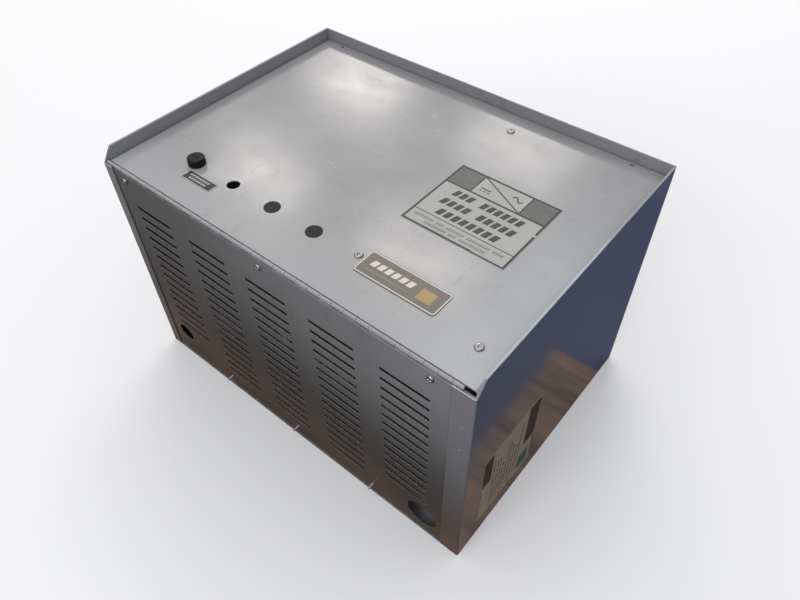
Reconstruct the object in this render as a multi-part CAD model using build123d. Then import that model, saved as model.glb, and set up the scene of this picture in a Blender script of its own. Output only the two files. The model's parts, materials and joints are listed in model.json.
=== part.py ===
from build123d import *
import os

# Sheet-steel enclosed sine wave inverter, lying on its back.
# Case coordinates, in millimetres: x from the left wall's outer face, y from the front flanges' outer
# face towards the back wall, z up from the underside of the pan. save() moves every sub-part from there
# to the row's origin, the middle of the base.

# ---- driving dimensions ----
WIDTH = 427.0
DEPTH = 307.0
RIM_Z = 275.0  # top of the side and back walls
COVER_Z = 262.9  # outer face of the cover
FLANGE_TOP = 261.6  # top of the walls and flanges at the front corner
RIM_SLOPE = 11.0  # depth over which the rim rises from FLANGE_TOP to RIM_Z
SHEET = 1.2  # case and vent panel steel
COVER_SHEET = 1.5
RIM_FOLD = 2.0  # thickness of the folded edge along the top of each side wall
RIM_FOLD_FOOT = 260.2
LEFT_FLANGE = 12.5  # widths of the front flanges
RIGHT_FLANGE = 20.5
GAP = 0.4  # visible gap between neighbouring sheets

# vent panel, behind the flanges
PANEL_Y = SHEET
PANEL_BACK = PANEL_Y + SHEET
PANEL_TOP = 259.6
SLOT = (49.4, 4.8)
SLOT_PITCH = (76.2, 12.8)
SLOT_MIDDLE_X = 210.6
SLOT_TOP_Z = 223.0
SLOT_ROWS = (14, 16, 16, 16, 14)
SMALL_CONDUIT = (36.1, 37.6, 11.1)  # x, z, radius
LARGE_CONDUIT = (382.5, 28.2, 17.45)
TOP_SCREW_X = (28.0, 209.6, 387.6)
TOP_SCREW_Z = 252.1
END_SCREW_X = (109.2, 214.6, 320.8)
END_SCREW_Z = 14.3
END_SCREW_OUT = 6.0  # how far the screw ends stand out past the flanges
TOP_SCREW_HOLE_R = 1.8
END_SCREW_R = 1.5

# piano hinge
HINGE_Y = 4.0
HINGE_Z = 261.0
KNUCKLE_R = 1.85
PIN_R = 0.95
PIN_PLAY = 0.05
LEAF = 0.9
HINGE_LEFT = 1.6
HINGE_RIGHT = 414.0
KNUCKLE = 12.7
KNUCKLE_SEAM = 405.0  # the last seam between two knuckles
KNUCKLE_SEAMS = 32
KNUCKLE_GAP = 0.5
LEAF_FOOT_Z = 240.0
COVER_LEAF_BACK = 24.0

# rail behind the fixed leaf, an angle along the whole width
RAIL_SHEET = 1.5
RAIL_DEPTH = 15.0
RAIL_FOOT_Z = 236.0
RAIL_TOP = 258.6

# cover
COVER_LEFT = 2.5
COVER_RIGHT = WIDTH - 2.5
COVER_FRONT = 6.1
COVER_BACK = DEPTH - SHEET - 1.0
COVER_LIP = 10.0
COVER_UNDER = COVER_Z - COVER_SHEET
PANEL_HOLE_R = 6.35
PANEL_HOLE_Y = 53.0
PANEL_HOLE_X = (73.0, 123.5, 174.0, 224.5)  # fuse holder, empty hole, two plugged holes
FASTENING_HOLES = ((29.2, 301.3), (390.0, 301.3))
FASTENING_R = 2.1
BOARD_SCREWS = ((273.4, 277.6), (272.6, 55.2), (402.5, 38.2))

# ledge under the cover's back edge
LEDGE_TOP = COVER_UNDER - 0.3
LEDGE_FRONT = 292.0

# back wall
BACK_SLOT_TOP_Z = 170.0
BACK_SLOT_ROWS = (8,) * 5

# pan
PAN_HOLES = (370.0, 250.0)  # hole to hole, along x and y
PAN_HOLE_MIDDLE = (WIDTH / 2, 153.0)
PAN_HOLE_R = 3.5
FLOOR = SHEET
SCREW_STRIP = (60.0, 355.0, 26.0)  # left, right and top of the strip that the end screws come through
SPOT_WELDS = ((WIDTH - 9.6, 220.0), (WIDTH - 9.6, 188.5))

# labels
COVER_LABEL = (268.2, 373.2, 113.3, 205.3)
BADGE = (278.8, 359.8, 40.0, 66.5)
FUSE_LABEL = (76.0, 114.0, 31.3, 43.5)
SIDE_LABEL = (28.2, 117.8, 24.0, 135.7)
FILM = 0.25  # thickness of the labels
BADGE_THICK = 0.8

# power transformer
CORE = (152.4, 80.0, 127.0)
CORE_LEFT = 74.0
CORE_FRONT = 165.0
FOOT = 3.0
LIMB = CORE[0] / 6
COIL_DEPTH = 124.0

ORIGIN_X = (WIDTH + FILM) / 2
ORIGIN_Y = (DEPTH - END_SCREW_OUT) / 2


# ---- helpers ----
def block(x0, x1, y0, y1, z0, z1):
    size = Box(abs(x1 - x0), abs(y1 - y0), abs(z1 - z0))
    return Pos((x0 + x1) / 2, (y0 + y1) / 2, (z0 + z1) / 2) * size


def post(x, y, z0, z1, r):
    return Pos(x, y, (z0 + z1) / 2) * Cylinder(r, z1 - z0)


def rod_y(x, z, y0, y1, r):
    return Pos(x, (y0 + y1) / 2, z) * Rot(90, 0, 0) * Cylinder(r, y1 - y0)


def rod_x(y, z, x0, x1, r):
    return Pos((x0 + x1) / 2, y, z) * Rot(0, 90, 0) * Cylinder(r, x1 - x0)


def hex_nut(across, height, bore_r):
    outline = RegularPolygon(across / 2, 6, major_radius=False)
    return extrude(outline, height) - Pos(0, 0, height / 2) * Cylinder(bore_r, height * 2)


def pan_screw(head_r, head_h, shank_r, length):
    """A cross-recess screw along Z: its head stands on z = 0 and its shank goes down."""
    head = Pos(0, 0, head_h / 2) * Cylinder(head_r, head_h)
    head = fillet(head.edges().group_by(Axis.Z)[-1], head_h * 0.6)
    for turn in (0, 90):
        head -= Pos(0, 0, head_h) * Rot(0, 0, turn) * Box(head_r * 1.15, head_r * 0.24, head_h * 1.1)
    shank = Pos(0, 0, -length / 2) * Cylinder(shank_r, length)
    shank = chamfer(shank.edges().group_by(Axis.Z)[0], shank_r * 0.35)
    return head + shank


def bend_radii(points):
    """The largest tangent arc that each corner's two runs have room for."""
    radii = []
    for before, here, after in zip(points, points[1:], points[2:]):
        a = Vector(*here) - Vector(*before)
        b = Vector(*after) - Vector(*here)
        half = a.get_angle(b) / 2
        tangent = Vector(1, 0, 0).rotate(Axis.Z, half)
        radii.append(0.45 * min(a.length, b.length) * tangent.X / max(tangent.Y, 1e-6))
    return radii


def routed(points, r):
    """A round wire along straight runs joined by tangent arcs."""
    path = FilletPolyline(*points, radius=bend_radii(points))
    start = Plane(origin=path @ 0, z_dir=path % 0)
    return sweep(start * Circle(r), path=path)


def save(name, shape):
    pieces = shape if isinstance(shape, list) else [shape]
    solids = []
    for piece in pieces:
        solids += (Pos(-ORIGIN_X, -ORIGIN_Y, 0) * piece).solids()
    whole = solids[0] if len(solids) == 1 else Compound(children=solids)
    whole.label = name
    export_step(whole, "parts/" + name + ".step")


# ---- case ----
def slot_field(columns, rows, top, y0, y1):
    cuts = []
    for column, count in zip(columns, rows):
        for row in range(count):
            z = top - row * SLOT_PITCH[1]
            across = (column - SLOT[0] / 2, column + SLOT[0] / 2)
            cuts.append(block(*across, y0, y1, z - SLOT[1] / 2, z + SLOT[1] / 2))
    return cuts


def slot_columns():
    return [SLOT_MIDDLE_X + SLOT_PITCH[0] * k for k in (-2, -1, 0, 1, 2)]


def pan_hole_places():
    x, y = PAN_HOLE_MIDDLE
    return [(x + i * PAN_HOLES[0] / 2, y + j * PAN_HOLES[1] / 2) for i in (-1, 1) for j in (-1, 1)]


def case_body():
    middle = Pos(WIDTH / 2, DEPTH / 2, 0)
    outer = RectangleRounded(WIDTH, DEPTH, 1.6)
    inner = RectangleRounded(WIDTH - 2 * SHEET, DEPTH - 2 * SHEET, 0.4)
    walls = middle * extrude(outer - inner, RIM_Z)
    pan = middle * extrude(outer, SHEET)
    body = walls + pan
    body -= block(LEFT_FLANGE, WIDTH - RIGHT_FLANGE, -1, SHEET, FLOOR + GAP, RIM_Z + 1)
    inset = SHEET / 2
    for x0, x1, y0 in ((inset, RIM_FOLD, 8.0), (WIDTH - RIM_FOLD, WIDTH - inset, inset)):
        body += block(x0, x1, y0, DEPTH - inset, RIM_FOLD_FOOT, RIM_Z)
    over = RIM_Z + 1
    front = [(-1, FLANGE_TOP), (SHEET, FLANGE_TOP), (RIM_SLOPE, RIM_Z), (RIM_SLOPE, over), (-1, over)]
    body -= Pos(-1, 0, 0) * extrude(Plane.YZ * make_face(Polyline(*front, close=True)), WIDTH + 2)
    left, right, top = SCREW_STRIP
    body += block(left, right, PANEL_BACK, PANEL_BACK + SHEET, SHEET / 2, top)
    body += block(6, WIDTH - 6, LEDGE_FRONT, DEPTH - SHEET / 2, LEDGE_TOP - SHEET, LEDGE_TOP)
    for x, y in FASTENING_HOLES:
        body -= post(x, y, LEDGE_TOP - 3, LEDGE_TOP + 1, FASTENING_R)
    for x, y in pan_hole_places():
        body -= post(x, y, -1, FLOOR + 1, PAN_HOLE_R)
    for x in END_SCREW_X:
        body -= rod_y(x, END_SCREW_Z, PANEL_Y, PANEL_BACK + 3, END_SCREW_R)
    for x, z in SPOT_WELDS:
        body -= Pos(x, -0.9, z) * Sphere(1.5)
    body -= slot_field(slot_columns(), BACK_SLOT_ROWS, BACK_SLOT_TOP_Z, DEPTH - 3, DEPTH + 1)
    return body


def vent_panel():
    panel = block(SHEET + GAP, WIDTH - SHEET - GAP, PANEL_Y, PANEL_BACK, FLOOR, PANEL_TOP)
    panel -= slot_field(slot_columns(), SLOT_ROWS, SLOT_TOP_Z, 0, PANEL_BACK + 1)
    for x, z, r in (SMALL_CONDUIT, LARGE_CONDUIT):
        panel -= rod_y(x, z, 0, PANEL_BACK + 1, r)
    for x in TOP_SCREW_X:
        panel -= rod_y(x, TOP_SCREW_Z, 0, PANEL_BACK + 1, TOP_SCREW_HOLE_R)
    for x in END_SCREW_X:
        panel -= rod_y(x, END_SCREW_Z, 0, PANEL_BACK + 1, END_SCREW_R)
    return panel


def hinge_rail():
    y = PANEL_BACK + LEAF
    rail = block(SHEET, WIDTH - SHEET, y, y + RAIL_SHEET, RAIL_FOOT_Z, RAIL_TOP)
    rail += block(SHEET, WIDTH - SHEET, y, y + RAIL_DEPTH, RAIL_FOOT_Z, RAIL_FOOT_Z + RAIL_SHEET)
    for x in TOP_SCREW_X:
        rail -= rod_y(x, TOP_SCREW_Z, y - 1, y + 3, TOP_SCREW_HOLE_R)
    return rail


# ---- piano hinge ----
def knuckle_spans(first):
    seams = [KNUCKLE_SEAM - KNUCKLE * k for k in range(KNUCKLE_SEAMS)]
    edges = [HINGE_LEFT, *reversed(seams), HINGE_RIGHT]
    spans = list(zip(edges, edges[1:]))
    half = KNUCKLE_GAP / 2
    return [(a + half, b - half) for a, b in spans[first::2]]


def hinge_leaf_fixed():
    knuckle_free = HINGE_Z - KNUCKLE_R - 0.35
    leaf = block(HINGE_LEFT, HINGE_RIGHT, PANEL_BACK, PANEL_BACK + LEAF, LEAF_FOOT_Z, knuckle_free)
    for a, b in knuckle_spans(0):
        leaf += block(a, b, PANEL_BACK, PANEL_BACK + LEAF, knuckle_free - 1, HINGE_Z)
        leaf += rod_x(HINGE_Y, HINGE_Z, a, b, KNUCKLE_R)
    leaf -= rod_x(HINGE_Y, HINGE_Z, 0, WIDTH, PIN_R)
    for x in TOP_SCREW_X:
        leaf -= rod_y(x, TOP_SCREW_Z, 0, 8, TOP_SCREW_HOLE_R)
    return leaf


def hinge_leaf_cover():
    top = COVER_UNDER
    leaf = block(HINGE_LEFT + 6, HINGE_RIGHT, COVER_FRONT, COVER_LEAF_BACK, top - LEAF, top)
    for a, b in knuckle_spans(1):
        leaf += block(a, b, HINGE_Y, COVER_FRONT + 1, top - LEAF, top)
        leaf += rod_x(HINGE_Y, HINGE_Z, a, b, KNUCKLE_R)
    leaf -= rod_x(HINGE_Y, HINGE_Z, 0, WIDTH, PIN_R + PIN_PLAY)
    return leaf


def hinge_pin():
    return rod_x(HINGE_Y, HINGE_Z, HINGE_LEFT - 0.2, HINGE_RIGHT + 0.2, PIN_R)


# ---- cover ----
def cover_panel():
    outer = block(COVER_LEFT, COVER_RIGHT, COVER_FRONT, COVER_BACK, COVER_Z - COVER_LIP, COVER_Z)
    outer = fillet(outer.edges().filter_by(Axis.Y).group_by(Axis.Z)[-1], 3.2)
    inside = (COVER_LEFT + COVER_SHEET, COVER_RIGHT - COVER_SHEET)
    inner = block(*inside, COVER_FRONT - 1, COVER_BACK + 1, COVER_Z - COVER_LIP - 5, COVER_UNDER)
    inner = fillet(inner.edges().filter_by(Axis.Y).group_by(Axis.Z)[-1], 1.7)
    cover = outer - inner
    for x in PANEL_HOLE_X:
        cover -= post(x, PANEL_HOLE_Y, COVER_UNDER - 1, COVER_Z + 1, PANEL_HOLE_R)
    for x, y in FASTENING_HOLES:
        cover -= post(x, y, COVER_UNDER - 1, COVER_Z + 1, FASTENING_R)
    for x, y in BOARD_SCREWS:
        cover -= post(x, y, COVER_UNDER - 1, COVER_Z + 1, 1.8)
    return cover


def hole_plug(x):
    top = COVER_Z + 0.7
    plug = post(x, PANEL_HOLE_Y, COVER_Z, top, 7.6)
    plug = fillet(plug.edges().group_by(Axis.Z)[-1], 0.5)
    plug += post(x, PANEL_HOLE_Y, COVER_Z - 7, COVER_Z + 0.1, PANEL_HOLE_R - 0.15)
    plug -= post(x, PANEL_HOLE_Y, COVER_Z - 8, COVER_Z - 0.6, PANEL_HOLE_R - 1.4)
    for turn in (0, 90):
        cut = Box(16, 1.6, 5.5)
        plug -= Pos(x, PANEL_HOLE_Y, COVER_UNDER - 3.25) * Rot(0, 0, turn) * cut
    return plug


def label_plate(extent, thick, corner):
    x0, x1, y0, y1 = extent
    plate = extrude(RectangleRounded(x1 - x0, y1 - y0, corner), thick)
    return Pos((x0 + x1) / 2, (y0 + y1) / 2, COVER_Z) * plate


# ---- fuse holder, through the cover's first hole ----
FUSE_X = PANEL_HOLE_X[0]
FUSE_BORE = 5.0
FUSE_FLOOR = COVER_Z - 42.0
CAP_R = 8.3
CAP_TOP = COVER_Z + 7.6
FUSE_LENGTH = 31.8


def fuse_holder_body():
    body = post(FUSE_X, PANEL_HOLE_Y, FUSE_FLOOR - 2, COVER_Z + 0.1, PANEL_HOLE_R - 0.1)
    body += post(FUSE_X, PANEL_HOLE_Y, COVER_Z, COVER_Z + 1.4, 8.3)
    body -= post(FUSE_X, PANEL_HOLE_Y, FUSE_FLOOR, COVER_Z + 3, FUSE_BORE)
    return body


def fuse_holder_nut():
    nut = hex_nut(19.0, 3.0, PANEL_HOLE_R - 0.05)
    return Pos(FUSE_X, PANEL_HOLE_Y, COVER_UNDER - 3.0) * nut


def fuse_holder_terminals():
    end = FUSE_FLOOR - 2
    tail = block(FUSE_X - 2.4, FUSE_X + 2.4, PANEL_HOLE_Y - 0.4, PANEL_HOLE_Y + 0.4, end - 9, end)
    tail -= rod_y(FUSE_X, end - 6, PANEL_HOLE_Y - 2, PANEL_HOLE_Y + 2, 1.0)
    side = block(FUSE_X + 6.25, FUSE_X + 7.05, PANEL_HOLE_Y - 2.4, PANEL_HOLE_Y + 2.4, end - 5, end + 9)
    side -= rod_x(PANEL_HOLE_Y, end - 2.5, FUSE_X + 5, FUSE_X + 9, 1.0)
    return [tail, side]


def fuse_parts():
    """Glass tube, its two end caps and the spring clip that holds it to the cap."""
    low = FUSE_FLOOR + 0.5
    high = low + FUSE_LENGTH
    glass = post(FUSE_X, PANEL_HOLE_Y, low + 1.0, high - 1.0, 2.85)
    caps = []
    for z0, z1 in ((low, low + 6.4), (high - 6.4, high)):
        caps.append(post(FUSE_X, PANEL_HOLE_Y, z0, z1, 3.17))
    caps = [cap - glass for cap in caps]
    grip = post(FUSE_X, PANEL_HOLE_Y, high - 6, COVER_Z + 2.0, 4.3)
    grip -= post(FUSE_X, PANEL_HOLE_Y, high - 7, high + 0.5, 3.19)
    grip -= block(FUSE_X - 0.6, FUSE_X + 0.6, PANEL_HOLE_Y - 6, PANEL_HOLE_Y + 6, high - 7, high)
    return glass, caps, grip


def fuse_cap():
    foot = COVER_Z + 1.8
    cap = post(FUSE_X, PANEL_HOLE_Y, foot, CAP_TOP, CAP_R)
    cap = fillet(cap.edges().group_by(Axis.Z)[-1], 1.2)
    cap -= post(FUSE_X, PANEL_HOLE_Y, foot - 1, COVER_Z + 2.3, 4.7)
    for step in range(20):
        groove = Pos(CAP_R + 0.35, 0, foot + 2.4) * Cylinder(0.8, 6.0)
        cap -= Pos(FUSE_X, PANEL_HOLE_Y, 0) * Rot(0, 0, 18 * step) * groove
    cap -= Pos(FUSE_X, PANEL_HOLE_Y, CAP_TOP) * Box(9.0, 1.4, 1.2)
    return cap


# ---- control board, on the cover's inner side ----
BOARD_TOP = 240.0
BOARD_THICK = 1.6
BOARD = (262.0, 412.0, 30.0, 286.0)


def board_standoffs():
    posts = []
    for x, y in BOARD_SCREWS:
        spacer = hex_nut(7.0, COVER_UNDER - BOARD_TOP, 1.5)
        posts.append(Pos(x, y, BOARD_TOP) * spacer)
    return posts


def board_screws():
    """Three screws from the cover's outer side and three from under the board."""
    screw = pan_screw(3.9, 2.1, 1.5, 8.0)
    group = []
    for x, y in BOARD_SCREWS:
        group.append(Pos(x, y, COVER_Z) * screw)
        group.append(Pos(x, y, BOARD_TOP - BOARD_THICK) * Rot(180, 0, 0) * screw)
    return group


def control_board():
    x0, x1, y0, y1 = BOARD
    board = block(x0, x1, y0, y1, BOARD_TOP - BOARD_THICK, BOARD_TOP)
    for x, y in BOARD_SCREWS:
        board -= post(x, y, BOARD_TOP - 3, BOARD_TOP + 1, 1.6)
    return board


def board_chips():
    under = BOARD_TOP - BOARD_THICK
    chips = []
    for column in range(3):
        for row in range(4):
            x = 300 + 30 * column
            y = 150 + 26 * row
            chips.append(block(x - 3.2, x + 3.2, y - 9.6, y + 9.6, under - 4.2, under - 0.5))
    return chips


def board_capacitors():
    under = BOARD_TOP - BOARD_THICK
    places = [(282, 90, 6.5, 20), (300, 90, 6.5, 20), (282, 112, 5.0, 13), (298, 112, 5.0, 13)]
    places.append((395, 255, 8.0, 25))
    cans = []
    for x, y, r, height in places:
        can = post(x, y, under - height, under, r)
        cans.append(fillet(can.edges().group_by(Axis.Z)[0], 0.8))
    return cans


def board_transformer():
    under = BOARD_TOP - BOARD_THICK
    core = block(340, 382, 78, 113, under - 28, under - 4)
    for left in (347, 368):
        core -= block(left, left + 7, 77, 114, under - 22, under - 10)
    coil = block(348, 374, 72, 119, under - 21.5, under - 10.5)
    coil -= block(354.2, 367.8, 77.8, 113.2, under - 23, under - 9)
    feet = block(344, 378, 80, 111, under - 4, under)
    return [core, coil, feet]


def board_connector():
    under = BOARD_TOP - BOARD_THICK
    shell = block(292, 342, 36, 46, under - 12, under)
    shell -= block(293.5, 340.5, 37.5, 44.5, under - 13, under - 2)
    for k in range(10):
        shell += block(296.2 + 4.6 * k, 297.2 + 4.6 * k, 40.5, 41.5, under - 10, under - 1)
    return shell


def fuse_leads():
    """Two wires from the fuse holder's tails, under the cover, down past the board's edge and up to it."""
    tail = FUSE_FLOOR - 2
    run = COVER_UNDER - 1.5
    under = BOARD_TOP - BOARD_THICK
    low = (
        (FUSE_X, 53.7, tail - 6), (FUSE_X, 66, tail - 5), (80, 78, 232), (100, 84, 252),
        (135, 86, run), (185, 86, run), (226, 84, 255), (247, 80, 243),
        (255, 76, 231), (267, 71, 226), (276, 70, 230), (276, 70, under),
    )
    high = (
        (FUSE_X + 7.4, 53, tail - 2), (FUSE_X + 17, 54, tail), (100, 64, 236), (118, 72, 252),
        (145, 74, run), (190, 74, run), (228, 73, 255), (250, 69, 243),
        (259, 65, 231), (272, 62.5, 226.5), (286, 62, 230), (286, 62, under),
    )
    return [routed(low, 1.2), routed(high, 1.2)]


# ---- power transformer ----
def transformer_core():
    x0 = CORE_LEFT
    z0 = FLOOR + FOOT
    core = block(x0, x0 + CORE[0], CORE_FRONT, CORE_FRONT + CORE[1], z0, z0 + CORE[2])
    for left in (LIMB, 4 * LIMB):
        window = (x0 + left, x0 + left + LIMB)
        core -= block(*window, CORE_FRONT - 1, CORE_FRONT + CORE[1] + 1, z0 + LIMB, z0 + CORE[2] - LIMB)
    for x, z in core_bolt_places():
        core -= rod_y(x, z, CORE_FRONT - 1, CORE_FRONT + CORE[1] + 1, 3.3)
    return core


def core_bolt_places():
    z0 = FLOOR + FOOT
    half = LIMB / 2
    across = (CORE_LEFT + half, CORE_LEFT + CORE[0] - half)
    return [(x, z) for x in across for z in (z0 + half, z0 + CORE[2] - half)]


def coil_ring(width, depth, hole_w, hole_d, z0, z1, corner):
    ring = extrude(RectangleRounded(width, depth, corner) - RectangleRounded(hole_w, hole_d, 1.0), z1 - z0)
    return Pos(CORE_LEFT + CORE[0] / 2, CORE_FRONT + CORE[1] / 2, z0) * ring


def transformer_bobbin():
    z0 = FLOOR + FOOT + LIMB + 0.5
    z1 = FLOOR + FOOT + CORE[2] - LIMB - 0.5
    hole = (2 * LIMB + 0.8, CORE[1] + 0.8)
    tube = coil_ring(hole[0] + 3, hole[1] + 3, *hole, z0, z1, 2.0)
    flange_size = (4 * LIMB - 1.0, COIL_DEPTH + 4)
    low = coil_ring(*flange_size, *hole, z0, z0 + 2, 4.0)
    high = coil_ring(*flange_size, *hole, z1 - 2, z1, 4.0)
    return tube + low + high


def transformer_winding():
    z0 = FLOOR + FOOT + LIMB + 2.6
    z1 = FLOOR + FOOT + CORE[2] - LIMB - 2.6
    return coil_ring(4 * LIMB - 3, COIL_DEPTH, 2 * LIMB + 4.0, CORE[1] + 4.0, z0, z1, 14.0)


def transformer_feet():
    feet = []
    x0 = CORE_LEFT + 4
    x1 = CORE_LEFT + CORE[0] - 4
    for face, out in ((CORE_FRONT, -1), (CORE_FRONT + CORE[1], 1)):
        foot = block(x0, x1, face, face + out * FOOT, FLOOR, FLOOR + FOOT + LIMB)
        foot += block(x0, x1, face, face + out * 24, FLOOR, FLOOR + FOOT)
        for x, z in core_bolt_places():
            foot -= rod_y(x, z, face - 5, face + 5, 3.3)
        for x, y in transformer_studs():
            foot -= post(x, y, 0, FLOOR + FOOT + 1, 2.6)
        feet.append(foot)
    return feet


def transformer_studs():
    return [(x, y) for x in (94.0, 206.0) for y in (CORE_FRONT - 13, CORE_FRONT + CORE[1] + 13)]


def transformer_bolts():
    group = []
    for x, z in core_bolt_places():
        low = z < 60
        grip = FOOT if low else 0
        y0 = CORE_FRONT - grip
        y1 = CORE_FRONT + CORE[1] + grip
        head = Pos(x, y0, z) * Rot(90, 0, 0) * extrude(RegularPolygon(5.0, 6, major_radius=False), 4.0)
        group.append(head + rod_y(x, z, y0 - 0.5, y1 + 8, 3.0))
        group.append(Pos(x, y1, z) * Rot(-90, 0, 0) * hex_nut(10.0, 5.0, 3.0))
    return group


# ---- output choke ----
CHOKE = (40.0, 175.0)


def choke_winding():
    ring = Circle(30) - Circle(11)
    ring = extrude(ring, 32)
    ring = fillet(ring.edges(), 7.5)
    return Pos(*CHOKE, FLOOR + 1.5) * ring


def choke_clamp():
    pad = post(*CHOKE, FLOOR, FLOOR + 1.5, 26)
    disc = post(*CHOKE, FLOOR + 33.5, FLOOR + 36, 22)
    both = [pad, disc]
    return [piece - post(*CHOKE, 0, 60, 2.6) for piece in both]


# ---- capacitors ----
DC_CANS = ((275.0, 258.0), (345.0, 258.0))
CAN_R = 31.0
CAN_TOP = 108.0
AC_CANS = ((275.0, 184.0), (345.0, 184.0))
AC_CAN = (58.0, 36.0)
AC_CAN_TOP = 104.0
BAR_OFFSET = 14.0


def dc_capacitors():
    cans = []
    for x, y in DC_CANS:
        can = post(x, y, FLOOR, CAN_TOP, CAN_R)
        can = fillet(can.edges().group_by(Axis.Z)[-1], 1.5)
        can -= post(x, y, CAN_TOP - 1.2, CAN_TOP + 1, CAN_R - 3.5)
        for side in (-1, 1):
            can += post(x, y + side * BAR_OFFSET, CAN_TOP - 2, CAN_TOP + 2.5, 6.0)
        cans.append(can)
    return cans


def dc_capacitor_clamps():
    clamps = []
    for x, y in DC_CANS:
        band = post(x, y, 14, 34, CAN_R + 1.6) - post(x, y, 10, 40, CAN_R + 0.05)
        for side in (-1, 1):
            near = y + side * (CAN_R + 0.4)
            band += block(x - 7, x + 7, near, near + side * 1.6, FLOOR, 34)
            band += block(x - 7, x + 7, near, near + side * 15, FLOOR, FLOOR + 1.6)
        for stud_x, stud_y in clamp_studs():
            band -= post(stud_x, stud_y, 0, 6, 2.6)
        clamps.append(band)
    return clamps


def clamp_studs():
    return [(x, y + side * (CAN_R + 9)) for x, y in DC_CANS for side in (-1, 1)]


def bar_lug_place(side):
    return DC_CANS[1][0] + 24, DC_CANS[1][1] + side * BAR_OFFSET


def dc_bus_bars():
    bars = []
    for side in (-1, 1):
        y = DC_CANS[0][1] + side * BAR_OFFSET
        bar = block(DC_CANS[0][0] - 9, DC_CANS[1][0] + 34, y - 8, y + 8, CAN_TOP + 2.5, CAN_TOP + 5.0)
        for x, _ in DC_CANS:
            bar -= post(x, y, CAN_TOP, CAN_TOP + 8, 2.5)
        bar -= post(*bar_lug_place(side), CAN_TOP, CAN_TOP + 8, 3.05)
        bars.append(bar)
    return bars


def bus_screws():
    screw = pan_screw(5.0, 3.0, 2.4, 2.4)
    group = []
    for x, y in DC_CANS:
        for side in (-1, 1):
            group.append(Pos(x, y + side * BAR_OFFSET, CAN_TOP + 5.0) * screw)
    return group


def ac_capacitors():
    cans = []
    for x, y in AC_CANS:
        can = extrude(SlotOverall(*AC_CAN), AC_CAN_TOP - FLOOR - 1.5)
        can = fillet(can.edges().group_by(Axis.Z)[-1], 1.5)
        can = Pos(x, y, FLOOR + 1.5) * can
        for side in (-1, 1):
            can += post(x + side * 12, y, AC_CAN_TOP - 1, AC_CAN_TOP + 5, 5.0)
            tab = x + side * 12
            can += block(tab - 3.2, tab + 3.2, y - 0.4, y + 0.4, AC_CAN_TOP + 4, AC_CAN_TOP + 13)
        cans.append(can)
    return cans


def ac_capacitor_bracket():
    x0 = AC_CANS[0][0] - 33
    x1 = AC_CANS[1][0] + 33
    y = AC_CANS[0][1]
    tray = block(x0, x1, y - 20, y + 20, FLOOR, FLOOR + 1.5)
    for side in (-1, 1):
        tray += block(x0, x1, y + side * 18.5, y + side * 20, FLOOR, 44)
    for x, y_stud in bracket_studs():
        tray -= post(x, y_stud, 0, 8, 2.6)
    return tray


def bracket_studs():
    return [(AC_CANS[0][0] + 35, AC_CANS[0][1]), (AC_CANS[0][0] + 35, AC_CANS[0][1] + 12)]


# ---- heat sink and power devices ----
SINK = (122.0, 308.0, 36.0, 128.0)
SINK_TOP = 66.0


def heat_sink():
    x0, x1, y0, y1 = SINK
    sink = block(x0, x1, y0, y1, SINK_TOP - 6, SINK_TOP)
    count = 18
    for k in range(count):
        x = x0 + 1.0 + k * (x1 - x0 - 2.0) / (count - 1)
        sink += block(x - 1.0, x + 1.0, y0, y1, 14, SINK_TOP - 5)
    return sink


def heat_sink_brackets():
    x0, x1, y0, y1 = SINK
    brackets = []
    for face, out in ((x0, -1), (x1, 1)):
        bracket = block(face, face + out * 1.6, y0 + 6, y1 - 6, FLOOR, SINK_TOP)
        bracket += block(face, face + out * 12, y0 + 6, y1 - 6, FLOOR, FLOOR + 1.6)
        for x, y in sink_studs():
            bracket -= post(x, y, 0, 6, 2.6)
        brackets.append(bracket)
    return brackets


def sink_studs():
    x0, x1, y0, y1 = SINK
    return [(x, y) for x in (x0 - 7, x1 + 7) for y in (y0 + 16, y1 - 16)]


def device_places():
    return [(x, y) for x in (150.0, 193.3, 236.6, 280.0) for y in (60.0, 104.0)]


def device_insulators():
    sheets = []
    for x, y in device_places():
        sheets.append(Pos(x, y, SINK_TOP) * extrude(SlotOverall(41, 27.5), 0.5))
    return sheets


def power_devices():
    devices = []
    for x, y in device_places():
        flange = extrude(SlotOverall(39, 25.5), 1.6)
        can = Pos(0, 0, 4.6) * Cylinder(10.2, 7.4)
        can = fillet(can.edges().group_by(Axis.Z)[-1], 1.2)
        device = flange + can
        for side in (-1, 1):
            device += Pos(side * 15.1, 0, 1.6) * extrude(RegularPolygon(3.2, 6, major_radius=False), 2.4)
        devices.append(Pos(x, y, SINK_TOP + 0.5) * device)
    return devices


# ---- terminals ----
DC_POSTS = ((345.0, 103.0), (373.0, 103.0), (401.0, 103.0))
DC_BLOCK_TOP = 26.0


def dc_terminal_block():
    base = block(329, 417, 86, 120, FLOOR, DC_BLOCK_TOP - 6)
    for x, y in DC_POSTS:
        base += block(x - 11, x + 11, 90, 116, FLOOR, DC_BLOCK_TOP)
        base -= post(x, y, FLOOR + 5, DC_BLOCK_TOP + 1, 4.0)
    return base


def dc_terminal_posts():
    return [post(x, y, FLOOR + 5, 50, 4.0) for x, y in DC_POSTS]


def dc_terminal_nuts():
    return [Pos(x, y, 36.0) * hex_nut(13.0, 6.5, 4.0) for x, y in DC_POSTS]


def dc_fuse_link():
    """A bolted strip fuse between the second and third posts."""
    (x0, y), (x1, _) = DC_POSTS[1:]
    strip = block(x0 - 8, x1 + 8, y - 6, y + 6, DC_BLOCK_TOP, DC_BLOCK_TOP + 2)
    for x in (x0, x1):
        strip -= post(x, y, 20, 40, 4.05)
    window = block(x0 + 7.5, x1 - 7.5, y - 8, y + 8, DC_BLOCK_TOP + 2, DC_BLOCK_TOP + 9)
    return strip + window


AC_STRIP = (14.0, 98.0, 66.0, 88.0)
AC_WAYS = [22.0 + 17.0 * k for k in range(5)]


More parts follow.
